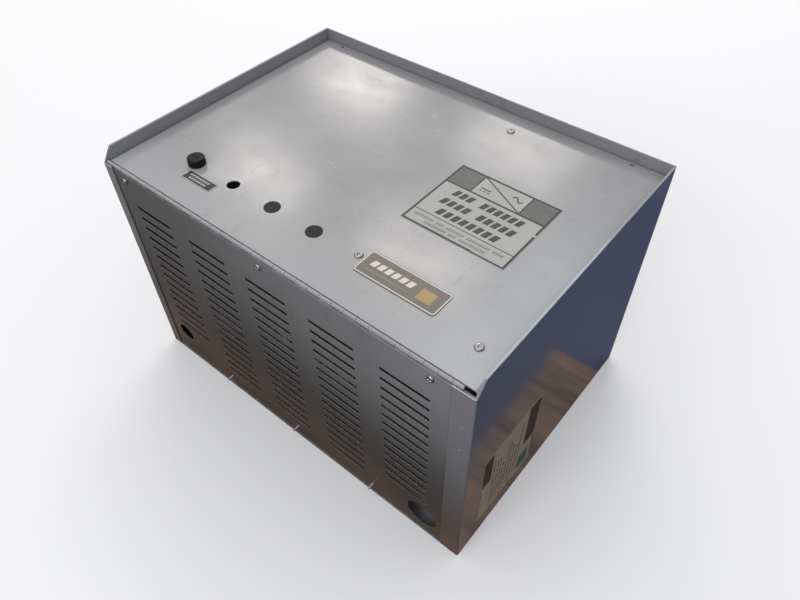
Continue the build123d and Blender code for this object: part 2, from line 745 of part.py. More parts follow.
def ac_terminal_strip():
    x0, x1, y0, y1 = AC_STRIP
    strip = block(x0, x1, y0, y1, FLOOR, 10)
    for x in [x0 + 1] + [way + 8.5 for way in AC_WAYS[:-1]] + [x1 - 1]:
        strip += block(x - 1, x + 1, y0, y1, FLOOR, 17)
    for x in AC_WAYS:
        strip -= post(x, 77, 5, 12, 1.9)
    return strip


def ac_terminal_screws():
    screw = pan_screw(3.6, 2.2, 1.8, 5.0)
    group = []
    for x in AC_WAYS:
        group.append(Pos(x, 77, 10.8) * screw)
        plate = block(x - 5, x + 5, 67.5, 86.5, 10, 10.8) - post(x, 77, 8, 12, 1.8)
        group.append(plate)
    return group


# ---- studs and nuts on the pan ----
GROUND_STUD = (66.0, 112.0)


def stud_places():
    low = transformer_studs() + clamp_studs() + bracket_studs() + sink_studs()
    return [(x, y, 12.0) for x, y in low] + [(*CHOKE, 46.0), (*GROUND_STUD, 14.0)]


def nut_seats():
    seats = [(x, y, FLOOR + FOOT) for x, y in transformer_studs()]
    seats += [(x, y, FLOOR + 1.6) for x, y in clamp_studs() + sink_studs()]
    seats += [(x, y, FLOOR + 1.5) for x, y in bracket_studs()]
    return seats + [(*CHOKE, FLOOR + 36), (*GROUND_STUD, FLOOR + 1.6)]


def pan_studs():
    return [post(x, y, FLOOR, top, 2.5) for x, y, top in stud_places()]


def pan_nuts():
    return [Pos(x, y, z) * hex_nut(8.0, 4.0, 2.5) for x, y, z in nut_seats()]


def panel_nuts():
    """Nuts behind the hinge rail and under the ledge."""
    height = 2.8
    nut = hex_nut(7.9, height, 1.7)
    rail_back = PANEL_BACK + LEAF + RAIL_SHEET
    seat = LEDGE_TOP - SHEET - height
    group = [Pos(x, rail_back, TOP_SCREW_Z) * Rot(-90, 0, 0) * nut for x in TOP_SCREW_X]
    return group + [Pos(x, y, seat) * nut for x, y in FASTENING_HOLES]


def panel_screws():
    screw = pan_screw(3.6, 2.0, 1.7, 9.0)
    return [Pos(x, PANEL_Y, TOP_SCREW_Z) * Rot(90, 0, 0) * screw for x in TOP_SCREW_X]


def end_screws():
    seat = PANEL_BACK + SHEET
    screw = pan_screw(3.2, 2.0, END_SCREW_R, seat + END_SCREW_OUT)
    return [Pos(x, seat, END_SCREW_Z) * Rot(-90, 0, 0) * screw for x in END_SCREW_X]


# ---- wiring ----
def ring_lug(x, y, z, turn, eye_r, stud_r, barrel_r):
    """A crimp lug lying flat: its eye is round the stud and its barrel points along the turned +y."""
    lug = Cylinder(eye_r, 1.6) + Pos(0, eye_r, 0) * Box(eye_r * 1.1, eye_r * 1.6, 1.6)
    middle = eye_r * 1.8 + LUG_BARREL / 2
    lug = lug + Pos(0, middle, barrel_r - 0.8) * Rot(90, 0, 0) * Cylinder(barrel_r, LUG_BARREL)
    lug = lug - Cylinder(stud_r, 4)
    return Pos(x, y, z + 0.8) * Rot(0, 0, turn) * lug


DC_CABLE_R = 4.0
LUG_BARREL = 10.0


def dc_lug_places():
    bar_top = CAN_TOP + 5.0
    return [
        (*DC_POSTS[0], DC_BLOCK_TOP, 0, 7.0, 4.05),
        (*DC_POSTS[1], DC_BLOCK_TOP + 2, 0, 7.0, 4.05),
        (*bar_lug_place(-1), bar_top, 180, 7.0, 3.05),
        (*bar_lug_place(1), bar_top, -135, 7.0, 3.05),
    ]


def lug_mouth(x, y, z, turn, eye_r, stud_r):
    """The middle of a lug's open end, where its cable begins."""
    reach = Vector(0, eye_r * 1.8 + LUG_BARREL, 0).rotate(Axis.Z, turn)
    return x + reach.X, y + reach.Y, z + DC_CABLE_R


def cable_lugs():
    lugs = [ring_lug(*place, DC_CABLE_R) for place in dc_lug_places()]
    lugs.append(ring_lug(*GROUND_STUD, FLOOR, -90, 5.0, 2.55, 2.0))
    return lugs


def bus_bar_bolts():
    group = []
    for side in (-1, 1):
        x, y = bar_lug_place(side)
        under = CAN_TOP + 2.5
        bolt = Pos(x, y, under - 2.4) * extrude(RegularPolygon(5.0, 6, major_radius=False), 2.4)
        group.append(bolt + post(x, y, under - 0.5, under + 12, 3.0))
        group.append(Pos(x, y, CAN_TOP + 6.6) * hex_nut(10.0, 4.5, 3.0))
    return group


def dc_cables():
    minus_post, plus_post, minus_bar, plus_bar = [lug_mouth(*place) for place in dc_lug_places()]
    minus = (minus_post, (345, 140, minus_post[2]), (352, 147, 62), (362, 151, 98), (369, 170, 119),
             (369.5, 196, 121), (369, 212, 117), minus_bar)
    plus = (plus_post, (373, 147, plus_post[2]), (386, 168, 48), (397, 196, 78), (400, 226, 106),
            (plus_bar[0] + 9, plus_bar[1] - 9, 117), plus_bar)
    return [routed(minus, DC_CABLE_R), routed(plus, DC_CABLE_R)]


def transformer_leads():
    """Three leads from the transistors' nuts to the winding's front."""
    coil_front = CORE_FRONT + (CORE[1] - COIL_DEPTH) / 2
    nut_top = SINK_TOP + 4.5
    leads = []
    for start, end in ((165.1, 128.0), (208.4, 150.0), (251.7, 172.0)):
        step = end - start
        points = ((start, 104, nut_top), (start, 104, 88), (start + 0.3 * step, 108, 98),
                  (start + 0.75 * step, 118, 100), (end, 129, 94), (end, coil_front, 94))
        leads.append(routed(points, 2.0))
    return leads


def ac_wires():
    coil_front = CORE_FRONT + (CORE[1] - COIL_DEPTH) / 2
    z = 12.2
    to_choke = (
        (AC_WAYS[0], 81, z), (AC_WAYS[0], 96, z), (24, 112, 8),
        (31, 125, 9), (40, 135, 17), (40, 144.6, 17),
    )
    to_coil = (
        (AC_WAYS[1], 81, z), (AC_WAYS[1], 98, z), (50, 114, 20), (74, 126, 40),
        (102, 131, 62), (120, 133, 74), (120, coil_front, 74),
    )
    from_choke = (
        (50, 146, 22), (50, 136, 22), (60, 127, 40), (80, 127, 54),
        (102, 132, 60), (116, 135, 56), (116, coil_front, 56),
    )
    ground = (
        (85, 112, FLOOR + 2), (95, 112, FLOOR + 2), (100, 105, 7),
        (96, 97, z), (AC_WAYS[4], 90, z), (AC_WAYS[4], 81, z),
    )
    return [routed(points, 1.3) for points in (to_choke, to_coil, from_choke, ground)]


# ---- write every sub-part ----
os.makedirs("parts", exist_ok=True)

save("case_body", case_body())
save("vent_panel", vent_panel())
save("hinge_rail", hinge_rail())
save("hinge_leaf_fixed", hinge_leaf_fixed())
save("hinge_leaf_cover", hinge_leaf_cover())
save("hinge_pin", hinge_pin())
save("vent_panel_screws", panel_screws())
save("vent_panel_end_screws", end_screws())
save("vent_panel_nuts", panel_nuts())
save("pan_studs", pan_studs())
save("pan_nuts", pan_nuts())

save("cover_panel", cover_panel())
save("hole_plugs", [hole_plug(x) for x in PANEL_HOLE_X[2:]])
save("cover_label", label_plate(COVER_LABEL, FILM, 1.0))
save("name_badge", label_plate(BADGE, BADGE_THICK, 3.0))
save("fuse_label", label_plate(FUSE_LABEL, FILM, 0.6))
save("side_label", block(WIDTH, WIDTH + FILM, *SIDE_LABEL))

save("fuse_holder_body", fuse_holder_body())
save("fuse_holder_nut", fuse_holder_nut())
save("fuse_holder_terminals", fuse_holder_terminals())
glass, end_caps, grip = fuse_parts()
save("fuse_glass", glass)
save("fuse_end_caps", end_caps)
save("fuse_grip", grip)
save("fuse_cap", fuse_cap())

save("board_screws", board_screws())
save("board_standoffs", board_standoffs())
save("control_board", control_board())
save("board_chips", board_chips())
save("board_capacitors", board_capacitors())
save("board_transformer", board_transformer())
save("board_connector", board_connector())
save("fuse_leads", fuse_leads())

save("transformer_core", transformer_core())
save("transformer_bobbin", transformer_bobbin())
save("transformer_winding", transformer_winding())
save("transformer_feet", transformer_feet())
save("transformer_bolts", transformer_bolts())
save("choke_winding", choke_winding())
save("choke_clamp", choke_clamp())

save("dc_capacitors", dc_capacitors())
save("dc_capacitor_clamps", dc_capacitor_clamps())
save("dc_bus_bars", dc_bus_bars())
save("dc_bus_screws", bus_screws() + bus_bar_bolts())
save("ac_capacitors", ac_capacitors())
save("ac_capacitor_bracket", ac_capacitor_bracket())
save("heat_sink", heat_sink())
save("heat_sink_brackets", heat_sink_brackets())
save("device_insulators", device_insulators())
save("power_devices", power_devices())

save("dc_terminal_block", dc_terminal_block())
save("dc_terminal_posts", dc_terminal_posts())
save("dc_terminal_nuts", dc_terminal_nuts())
save("dc_fuse_link", dc_fuse_link())
save("ac_terminal_strip", ac_terminal_strip())
save("ac_terminal_screws", ac_terminal_screws())
save("cable_lugs", cable_lugs())
save("dc_cables", dc_cables())
save("transformer_leads", transformer_leads())
save("ac_wires", ac_wires())
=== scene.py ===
"""The looks of a sheet-steel sine wave inverter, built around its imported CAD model."""
import json
import math

import bmesh
import bpy
from mathutils import Euler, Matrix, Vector


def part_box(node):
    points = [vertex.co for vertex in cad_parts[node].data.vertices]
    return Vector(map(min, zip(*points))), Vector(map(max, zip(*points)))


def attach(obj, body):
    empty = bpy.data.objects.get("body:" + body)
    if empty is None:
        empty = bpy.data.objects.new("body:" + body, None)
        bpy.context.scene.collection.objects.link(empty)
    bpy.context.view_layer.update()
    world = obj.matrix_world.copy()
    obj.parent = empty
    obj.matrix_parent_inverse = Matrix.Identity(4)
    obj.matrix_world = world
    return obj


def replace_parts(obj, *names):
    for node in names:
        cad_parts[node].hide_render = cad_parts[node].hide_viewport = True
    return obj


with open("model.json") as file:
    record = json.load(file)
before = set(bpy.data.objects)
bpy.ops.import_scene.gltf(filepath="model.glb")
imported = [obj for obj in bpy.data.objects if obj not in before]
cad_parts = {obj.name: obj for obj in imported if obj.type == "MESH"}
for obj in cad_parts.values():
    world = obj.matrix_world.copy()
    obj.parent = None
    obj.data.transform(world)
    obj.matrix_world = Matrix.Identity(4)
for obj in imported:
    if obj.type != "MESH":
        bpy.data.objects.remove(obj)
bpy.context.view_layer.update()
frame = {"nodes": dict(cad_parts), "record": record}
nodes = frame["nodes"]

MM = 0.001
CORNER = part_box("case_body")[0]  # the case's left front corner, on the floor
SLOTS = {part["node"]: part["material_slot"] for part in frame["record"]["subparts"]}
COVER_Z = (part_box("cover_panel")[1].z - CORNER.z) / MM
LEFT_FLANGE, RIGHT_FLANGE = 12.5, 406.5  # inner edges of the case's front flanges


def at(x, y, z):
    """A place in case coordinates: millimetres right, back and up from the case's left front corner."""
    return CORNER + Vector((x, y, z)) * MM


def span(node):
    """A CAD node's box in case coordinates: lowest corner, highest corner, in millimetres."""
    low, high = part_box(node)
    return (low - CORNER) / MM, (high - CORNER) / MM


# ---- camera ----
CAMERA_PLACE = (552.0, -225.6, 642.2)
CAMERA_TURN = (42.283, 0.721, 39.338)
LENS = 30.47


def add_camera():
    data = bpy.data.cameras.new("camera")
    data.sensor_width = 36.0
    data.lens = LENS
    data.clip_start = 0.01
    camera = bpy.data.objects.new("camera", data)
    camera.location = at(*CAMERA_PLACE)
    camera.rotation_euler = Euler([math.radians(a) for a in CAMERA_TURN])
    bpy.context.scene.collection.objects.link(camera)
    bpy.context.scene.camera = camera


# ---- node graphs ----
class Graph:
    """Short ways to add nodes to a tree; place is the socket that its textures follow."""

    def __init__(self, tree, coordinates):
        self.tree = tree
        self.place = tree.nodes.new("ShaderNodeTexCoord").outputs[coordinates]

    def link(self, value, socket):
        if hasattr(value, "is_output"):
            self.tree.links.new(value, socket)
        else:
            socket.default_value = value

    def noise(self, scale, detail=3.0, rough=0.55, stretch=(1, 1, 1), offset=0.0):
        """Noise with about this many features to the metre; stretch makes them longer along an axis."""
        mapping = self.tree.nodes.new("ShaderNodeMapping")
        mapping.inputs["Scale"].default_value = [1 / s for s in stretch]
        mapping.inputs["Location"].default_value = (offset, offset * 0.7, offset * 1.3)
        node = self.tree.nodes.new("ShaderNodeTexNoise")
        node.inputs["Scale"].default_value = scale
        node.inputs["Detail"].default_value = detail
        node.inputs["Roughness"].default_value = rough
        self.link(self.place, mapping.inputs[0])
        self.link(mapping.outputs[0], node.inputs["Vector"])
        return node.outputs["Fac"]

    def bands(self, axis, pitch, wobble=0.0):
        """Regular lines across an axis, this many metres apart."""
        node = self.tree.nodes.new("ShaderNodeTexWave")
        node.bands_direction = axis
        node.inputs["Scale"].default_value = 1 / (pitch * 3.1831)
        node.inputs["Distortion"].default_value = wobble
        self.link(self.place, node.inputs["Vector"])
        return node.outputs["Fac"]

    def level(self, value, low, high, to_low=0.0, to_high=1.0):
        node = self.tree.nodes.new("ShaderNodeMapRange")
        node.interpolation_type = "SMOOTHSTEP"
        for socket, number in zip(node.inputs[1:5], (low, high, to_low, to_high)):
            socket.default_value = number
        self.link(value, node.inputs[0])
        return node.outputs[0]

    def math(self, operation, a, b=0.0):
        node = self.tree.nodes.new("ShaderNodeMath")
        node.operation = operation
        self.link(a, node.inputs[0])
        self.link(b, node.inputs[1])
        return node.outputs[0]

    def blend(self, a, b, factor):
        node = self.tree.nodes.new("ShaderNodeMix")
        node.data_type = "RGBA"
        for name, value in (("A", a), ("B", b)):
            if isinstance(value, tuple):
                value = (*value, 1.0)
            self.link(value, node.inputs[name])
        self.link(factor, node.inputs["Factor"])
        return node.outputs["Result"]

    def axis(self, name):
        node = self.tree.nodes.new("ShaderNodeSeparateXYZ")
        self.link(self.place, node.inputs[0])
        return node.outputs[name]

    def far_from(self, point):
        """Distance from a point of the row frame, in metres."""
        node = self.tree.nodes.new("ShaderNodeVectorMath")
        node.operation = "DISTANCE"
        self.link(self.place, node.inputs[0])
        node.inputs[1].default_value = point
        return node.outputs["Value"]


class Look(Graph):
    """A procedural material and its principled shader."""

    def __init__(self, name, metallic=0.0, **fixed):
        self.material = bpy.data.materials.new(name)
        self.material.use_nodes = True
        super().__init__(self.material.node_tree, "Object")
        self.shader = self.tree.nodes["Principled BSDF"]
        self.set("Metallic", metallic)
        for key, value in fixed.items():
            self.set(key.replace("_", " "), value)

    def set(self, name, value):
        if isinstance(value, tuple) and len(value) == 3:
            value = (*value, 1.0)
        self.link(value, self.shader.inputs[name])

    def rounded(self, radius):
        """The normal with every edge rounded, and how near an edge is, from 0 to 1."""
        bevel = self.tree.nodes.new("ShaderNodeBevel")
        bevel.inputs["Radius"].default_value = radius
        flat = self.tree.nodes.new("ShaderNodeNewGeometry").outputs["True Normal"]
        dot = self.tree.nodes.new("ShaderNodeVectorMath")
        dot.operation = "DOT_PRODUCT"
        self.link(bevel.outputs[0], dot.inputs[0])
        self.link(flat, dot.inputs[1])
        return bevel.outputs[0], self.level(dot.outputs["Value"], 0.998, 0.90)

    def bump(self, height, distance, normal=None, strength=1.0):
        node = self.tree.nodes.new("ShaderNodeBump")
        node.inputs["Distance"].default_value = distance
        node.inputs["Strength"].default_value = strength
        self.link(height, node.inputs["Height"])
        if normal is not None:
            self.link(normal, node.inputs["Normal"])
        self.set("Normal", node.outputs[0])


# ---- floor and lights ----
FLOOR_REACH = 14.0
BOARD_EDGE = at(482.0, 277.0, 0.0)  # right and back edges of the wooden top that the object stands on
EDGE_BLUR = 0.003
CEILING = 2.2  # height of the panels overhead


def add_floor():
    """A pale floor, which throws a wooden top, and a bluish floor beyond its edges, back onto the enamel."""
    bm = bmesh.new()
    bmesh.ops.create_grid(bm, x_segments=1, y_segments=1, size=FLOOR_REACH)
    data = bpy.data.meshes.new("floor")
    bm.to_mesh(data)
    bm.free()
    floor = bpy.data.objects.new("floor", data)
    bpy.context.scene.collection.objects.link(floor)
    look = Look("floor", Roughness=0.9)
    look.set("Base Color", (0.84, 0.84, 0.84))
    inside_x = look.level(look.axis("X"), BOARD_EDGE.x + EDGE_BLUR, BOARD_EDGE.x - EDGE_BLUR)
    inside_y = look.level(look.axis("Y"), BOARD_EDGE.y + EDGE_BLUR, BOARD_EDGE.y - EDGE_BLUR)
    grain = look.level(look.noise(44.0, 6.0, 0.68, (7.0, 1.0, 1.0)), 0.40, 0.68)
    wood = look.blend((0.325, 0.205, 0.130), (0.150, 0.098, 0.066), grain)
    wood = look.blend(wood, (0.150, 0.140, 0.132), look.level(look.axis("Y"), CORNER.y, CORNER.y - 0.05))
    beyond = look.blend((0.062, 0.080, 0.150), (0.085, 0.100, 0.165), look.level(look.noise(9.0), 0.35, 0.65))
    bounce = look.tree.nodes.new("ShaderNodeBsdfDiffuse")
    look.link(look.blend(beyond, wood, look.math("MULTIPLY", inside_x, inside_y)), bounce.inputs["Color"])
    path = look.tree.nodes.new("ShaderNodeLightPath")
    choose = look.tree.nodes.new("ShaderNodeMixShader")
    look.link(path.outputs["Is Camera Ray"], choose.inputs[0])
    look.link(bounce.outputs[0], choose.inputs[1])
    look.link(look.shader.outputs[0], choose.inputs[2])
    look.link(choose.outputs[0], look.tree.nodes["Material Output"].inputs["Surface"])
    data.materials.append(look.material)


def add_panel_light(name, place, size, watts, colour):
    data = bpy.data.lights.new(name, "AREA")
    data.shape = "RECTANGLE"
    data.size, data.size_y = size
    data.energy = watts
    data.color = colour
    light = bpy.data.objects.new(name, data)
    light.location = place
    bpy.context.scene.collection.objects.link(light)
    return light


def add_ceiling():
    """Four soft panels in two rows overhead, which show as pale patches in the cover's enamel, a cool one
    over its right side, and a key."""
    for name, x, y, depth, watts in (
        ("panel_back_left", -2.24, 2.75, 0.62, 11.0),
        ("panel_back_right", -1.03, 2.77, 0.60, 7.4),
        ("panel_front_left", -2.02, 1.65, 0.38, 5.6),
        ("panel_front_right", -0.91, 1.67, 0.34, 5.0),
    ):
        place = CORNER + Vector((x, y, CEILING))
        add_panel_light(name, place, (0.64, depth), watts, (1.0, 0.94, 0.87))
    window = CORNER + Vector((-0.22, 1.65, CEILING))
    add_panel_light("window", window, (0.60, 1.30), 6.0, (0.84, 0.93, 1.0))
    key = add_panel_light("key", Vector((0.25, -2.8, 2.0)), (2.4, 1.6), 38.0, (0.96, 0.98, 1.0))
    key.rotation_euler = (Vector((0, 0, 0.15)) - key.location).to_track_quat("-Z", "Y").to_euler()


def add_sky():
    """Soft light from all round: brightest overhead, dim towards the right, white to the camera."""
    world = bpy.data.worlds.new("sky")
    bpy.context.scene.world = world
    world.use_nodes = True
    graph = Graph(world.node_tree, "Generated")
    low = graph.blend((0.30, 0.305, 0.33), (0.085, 0.095, 0.125), graph.level(graph.axis("X"), -0.25, 0.75))
    sky = graph.blend(low, (1.05, 1.05, 1.07), graph.level(graph.axis("Z"), 0.05, 0.95))
    path = graph.tree.nodes.new("ShaderNodeLightPath")
    seen = graph.blend(sky, (0.86, 0.86, 0.86), path.outputs["Is Camera Ray"])
    graph.link(seen, graph.tree.nodes["Background"].inputs["Color"])


# ---- materials ----
def scratches(look, density, seed):
    """Fine straight scratches in two directions, as a mask."""
    one = look.noise(150.0, 2.0, 0.4, (14.0, 0.32, 1.0), seed)
    two = look.noise(120.0, 2.0, 0.4, (0.4, 11.0, 1.0), seed + 3.0)
    low = 0.80 - density
    return look.math("MAXIMUM", look.level(one, low, low + 0.05), look.level(two, low + 0.02, low + 0.07))


def enamel(name, base, grime, roughness, gloss=(0.25, 0.12), worn=(0.62, 0.62, 0.60), marks=0.06, seed=0.0,
           shade=None):
    """Gloss stove enamel on sheet steel: clouding, grime, orange peel, fine scratches, pale worn edges."""
    look = Look(name, Coat_Weight=gloss[0], Coat_Roughness=gloss[1], Specular_IOR_Level=0.55)
    cloud = look.level(look.noise(14.0, 4.0, 0.6, (1, 1, 1), seed), 0.35, 0.70)
    darker = tuple(c * 0.92 for c in base)
    colour = look.blend(base, darker, cloud)
    if shade:
        colour = shade(look, colour)
    stain = look.level(look.noise(38.0, 6.0, 0.7, (1.0, 1.0, 1.6), seed + 7.0), 0.56, 0.80, 0.0, 0.4)
    colour = look.blend(colour, grime, stain)
    lines = scratches(look, marks, seed)
    colour = look.blend(colour, worn, look.math("MULTIPLY", lines, 0.16))
    chips = look.level(look.noise(420.0, 2.0, 0.5, (1, 1, 1), seed + 11.0), 0.765, 0.79, 0.0, 0.5)
    colour = look.blend(colour, worn, chips)
    normal, edge = look.rounded(0.0006)
    rubbed = look.math("MULTIPLY", edge, look.level(look.noise(260.0, 4.0, 0.6), 0.30, 0.62, 0.35, 1.0))
    colour = look.blend(colour, worn, rubbed)
    look.set("Base Color", colour)
    smear = look.level(look.noise(30.0, 5.0, 0.65, (1.5, 1.0, 1.0), seed + 2.0), 0.3, 0.75, -0.04, 0.06)
    dulled = look.math("MULTIPLY", lines, 0.15)
    look.set("Roughness", look.math("ADD", look.math("ADD", smear, roughness), dulled))
    peel = look.math("ADD", look.noise(700.0, 2.0, 0.5), look.math("MULTIPLY", lines, -0.5))
    look.bump(peel, 0.00002, normal, 0.25)
    return look


def metal(name, base, roughness, seed=0.0, brushed=(1, 1, 1), tarnish=(0.35, 0.33, 0.30), share=0.35,
          bevel=0.00025):
    """Bare or plated metal: brushed or cast grain, patchy tarnish and rounded edges."""
    look = Look(name, metallic=1.0)
    dull = look.level(look.noise(110.0, 5.0, 0.65, (1, 1, 1), seed), 0.42, 0.78, 0.0, share)
    grain = look.noise(900.0, 3.0, 0.6, brushed, seed + 4.0)
    colour = look.blend(base, tarnish, dull)
    colour = look.blend(colour, tuple(c * 0.8 for c in base), look.level(grain, 0.4, 0.7, 0.0, 0.35))
    look.set("Base Color", colour)
    ground = look.level(grain, 0.3, 0.7, roughness - 0.06, roughness + 0.1)
    look.set("Roughness", look.math("ADD", ground, dull))
    normal, _ = look.rounded(bevel)
    look.bump(grain, 0.00002, normal, 0.15)
    return look


def moulded(name, base, roughness, seed=0.0, grain=700.0, depth=0.00003, dust=(0.35, 0.34, 0.32), share=0.12,
             specular=0.45):
    """Moulded plastic, board or rubber: a fine texture, slight colour drift and dust that has settled."""
    look = Look(name, Specular_IOR_Level=specular)
    drift = look.level(look.noise(60.0, 4.0, 0.6, (1, 1, 1), seed), 0.35, 0.7)
    colour = look.blend(base, tuple(c * 0.82 for c in base), drift)
    settled = look.level(look.noise(240.0, 5.0, 0.7, (1, 1, 1), seed + 5.0), 0.5, 0.8, 0.0, share)
    colour = look.blend(colour, dust, settled)
    look.set("Base Color", colour)
    shine = look.noise(80.0, 4.0, 0.6)
    look.set("Roughness", look.level(shine, 0.3, 0.7, roughness - 0.06, roughness + 0.08))
    normal, _ = look.rounded(0.0003)
    look.bump(look.noise(grain, 3.0, 0.6), depth, normal, 0.5)
    return look


def panel_shade(look, colour):
    """Painted shade on the vent panel: darker and a little browner towards its foot and its left end, and a
    painted shadow line along each flange.
    """
    height = look.level(look.axis("Z"), 0.08, 0.265)
    across = look.level(look.axis("X"), -0.22, 0.20, 0.25, 1.0)
    # painted shade: the paint darkens towards the panel's foot and towards its left end
    colour = look.blend((0.052, 0.048, 0.045), colour, look.math("MULTIPLY", height, across))
    # painted shadow: a dark line on the panel along the edge of each flange
    for flange, away in ((LEFT_FLANGE, 1.5), (RIGHT_FLANGE, -1.5)):
        unshaded_x, shaded_x = at(flange + away, 0, 0).x, at(flange + away * 0.3, 0, 0).x
        seam = look.level(look.axis("X"), unshaded_x, shaded_x, 0.0, 0.85)
        colour = look.blend(colour, (0.030, 0.029, 0.029), seam)
    return colour


def case_shade(look, colour):
    """Painted light and shade on the case: inside the case and on its rims the paint is lighter, for the
    light thrown up from the cover, and a little darker along the back wall; the front flanges darken towards
    the foot.
    """
    left, back = at(0.6, 0, 0).x, at(0, 306.4, 0).y
    within = look.level(look.math("ABSOLUTE", look.axis("X")), abs(left), abs(left) - 0.0002)
    within = look.math("MULTIPLY", within, look.level(look.axis("Y"), back, back - 0.0002))
    front = at(0, 1.0, 0).y
    within = look.math("MULTIPLY", within, look.level(look.axis("Y"), front, front + 0.0002))
    dimmer = look.level(look.axis("Y"), at(0, 302.0, 0).y, at(0, 305.0, 0).y)
    # painted light: inside the case and on its rims the paint is lighter, a little less so along the back
    # wall
    colour = look.blend(colour, look.blend((0.265, 0.267, 0.290), (0.226, 0.228, 0.248), dimmer), within)
    # painted shade: the front flanges darken from their top towards the foot, as the vent panel does
    flange = look.blend((0.075, 0.068, 0.064), (0.245, 0.243, 0.255), look.level(look.axis("Z"), 0.03, 0.26))
    return look.blend(colour, flange, look.level(look.axis("Y"), front, front - 0.0002))


def cover_shade(look, colour):
    """The cover has painted light: it is a little paler towards its hinge. Outside, it has a rubbed ring and
    arcs, two lines of old adhesive in front of its label, dark smears and a bare rim round the empty hole."""
    # painted light: the cover's paint grows paler towards the hinge at its front
    lit_front = look.level(look.axis("Y"), at(0, 95, 0).y, at(0, 0, 0).y)
    colour = look.blend(colour, (0.325, 0.326, 0.330), lit_front)
    outside = look.level(look.axis("Z"), at(0, 0, COVER_Z - 0.6).z, at(0, 0, COVER_Z - 0.4).z)
    for x, y, radius in ((127.0, 89.0, 14.0), (131.0, 84.0, 11.0)):
        away = look.math("ABSOLUTE", look.math("SUBTRACT", look.far_from(at(x, y, COVER_Z)), radius * MM))
        broken = look.level(look.noise(60.0, 3.0, 0.6, (1, 1, 1), x), 0.46, 0.60, 0.0, 0.8)
        ring = look.math("MULTIPLY", look.level(away, 0.0016, 0.0003), look.math("MULTIPLY", broken, outside))
        colour = look.blend(colour, (0.20, 0.19, 0.18), ring)
    ends = look.math("MULTIPLY", look.level(look.axis("Y"), at(0, 112, 0).y, at(0, 104, 0).y),
                     look.level(look.axis("Y"), at(0, 64, 0).y, at(0, 72, 0).y))
    for x in (298.0, 352.0):
        away = look.math("ABSOLUTE", look.math("SUBTRACT", look.axis("X"), at(x, 0, 0).x))
        patchy = look.level(look.noise(130.0, 4.0, 0.6, (1, 1, 1), x), 0.40, 0.60, 0.0, 0.6)
        line = look.math("MULTIPLY", look.level(away, 0.0016, 0.0004), look.math("MULTIPLY", patchy, outside))
        colour = look.blend(colour, (0.17, 0.155, 0.14), look.math("MULTIPLY", line, ends))
    smears = look.level(look.noise(34.0, 6.0, 0.72, (0.35, 1.6, 1.0), 61.0), 0.60, 0.76, 0.0, 0.35)
    colour = look.blend(colour, (0.165, 0.160, 0.155), look.math("MULTIPLY", smears, outside))
    worn = look.level(look.far_from(at(123.5, 53.0, COVER_Z)), 8.6 * MM, 7.0 * MM)
    patchy = look.level(look.noise(320.0, 3.0, 0.6), 0.40, 0.60, 0.15, 0.5)
    return look.blend(colour, (0.55, 0.53, 0.50), look.math("MULTIPLY", worn, patchy))


def print_look(name, base, soil=(0.28, 0.26, 0.23), share=0.35, roughness=0.42, seed=0.0):
    """Printed film: a flat ink or paper tone, scuffed and a little soiled."""
    look = Look(name, Specular_IOR_Level=0.4)
    scuff = look.level(look.noise(170.0, 6.0, 0.7, (1.3, 1.0, 1.0), seed), 0.50, 0.80, 0.0, share)
    colour = look.blend(base, soil, scuff)
    fade = look.level(look.noise(30.0, 3.0, 0.5, (1, 1, 1), seed + 2.0), 0.3, 0.7, 0.0, 0.25)
    look.set("Base Color", look.blend(colour, tuple(min(1.0, c * 1.25 + 0.02) for c in base), fade))
    look.set("Roughness", look.level(scuff, 0.0, share, roughness, roughness + 0.2))
    look.bump(look.noise(1500.0, 2.0, 0.5), 0.00002, None, 0.3)
    return look


def glass_look(name):
    look = Look(name, Transmission_Weight=1.0, IOR=1.5)
    look.set("Base Color", look.blend((0.93, 0.96, 0.96), (0.80, 0.86, 0.85), look.noise(60.0)))
    look.set("Roughness", look.level(look.noise(200.0), 0.4, 0.8, 0.02, 0.10))
    look.bump(look.noise(300.0), 0.00002, None, 0.2)
    return look


def lamination_look(name):
    """Stacked transformer steel: fine lines across the stack under a dark varnish."""
    look = Look(name, metallic=0.6)
    lines = look.bands("Y", 0.0011, 0.4)
    rust = look.level(look.noise(120.0, 5.0, 0.7), 0.5, 0.75, 0.0, 0.6)
    colour = look.blend((0.060, 0.060, 0.066), (0.13, 0.13, 0.14), lines)
    look.set("Base Color", look.blend(colour, (0.12, 0.055, 0.03), rust))
    look.set("Roughness", look.level(look.noise(50.0), 0.3, 0.7, 0.38, 0.55))
    normal, _ = look.rounded(0.0004)
    look.bump(lines, 0.0002, normal, 0.5)
    return look


def wire_look(name, base, dark):
    """Enamelled copper wire: warm, glossy, darker where the varnish has run."""
    look = Look(name, metallic=0.85, Coat_Weight=0.6, Coat_Roughness=0.2)
    run = look.level(look.noise(90.0, 4.0, 0.6), 0.38, 0.7)
    look.set("Base Color", look.blend(base, dark, run))
    look.set("Roughness", look.level(look.noise(400.0), 0.3, 0.7, 0.25, 0.42))
    look.bump(look.noise(1200.0), 0.00002, None, 0.3)
    return look


def board_look(name):
    """Green solder mask with the faint paths of buried copper, which run along x and y."""
    look = Look(name, Coat_Weight=0.5, Coat_Roughness=0.15)
    along = look.level(look.noise(300.0, 1.0, 0.3, (30.0, 0.5, 1.0)), 0.52, 0.56)
    across = look.level(look.noise(300.0, 1.0, 0.3, (0.5, 30.0, 1.0), 4.0), 0.54, 0.58)
    paths = look.math("MAXIMUM", along, across)
    colour = look.blend((0.018, 0.085, 0.035), (0.035, 0.15, 0.055), paths)
    dust = look.level(look.noise(130.0, 5.0, 0.7), 0.5, 0.8, 0.0, 0.2)
    look.set("Base Color", look.blend(colour, (0.30, 0.29, 0.27), dust))
    look.set("Roughness", look.level(dust, 0.0, 0.2, 0.28, 0.5))
    look.bump(paths, 0.00005, None, 0.5)
    return look


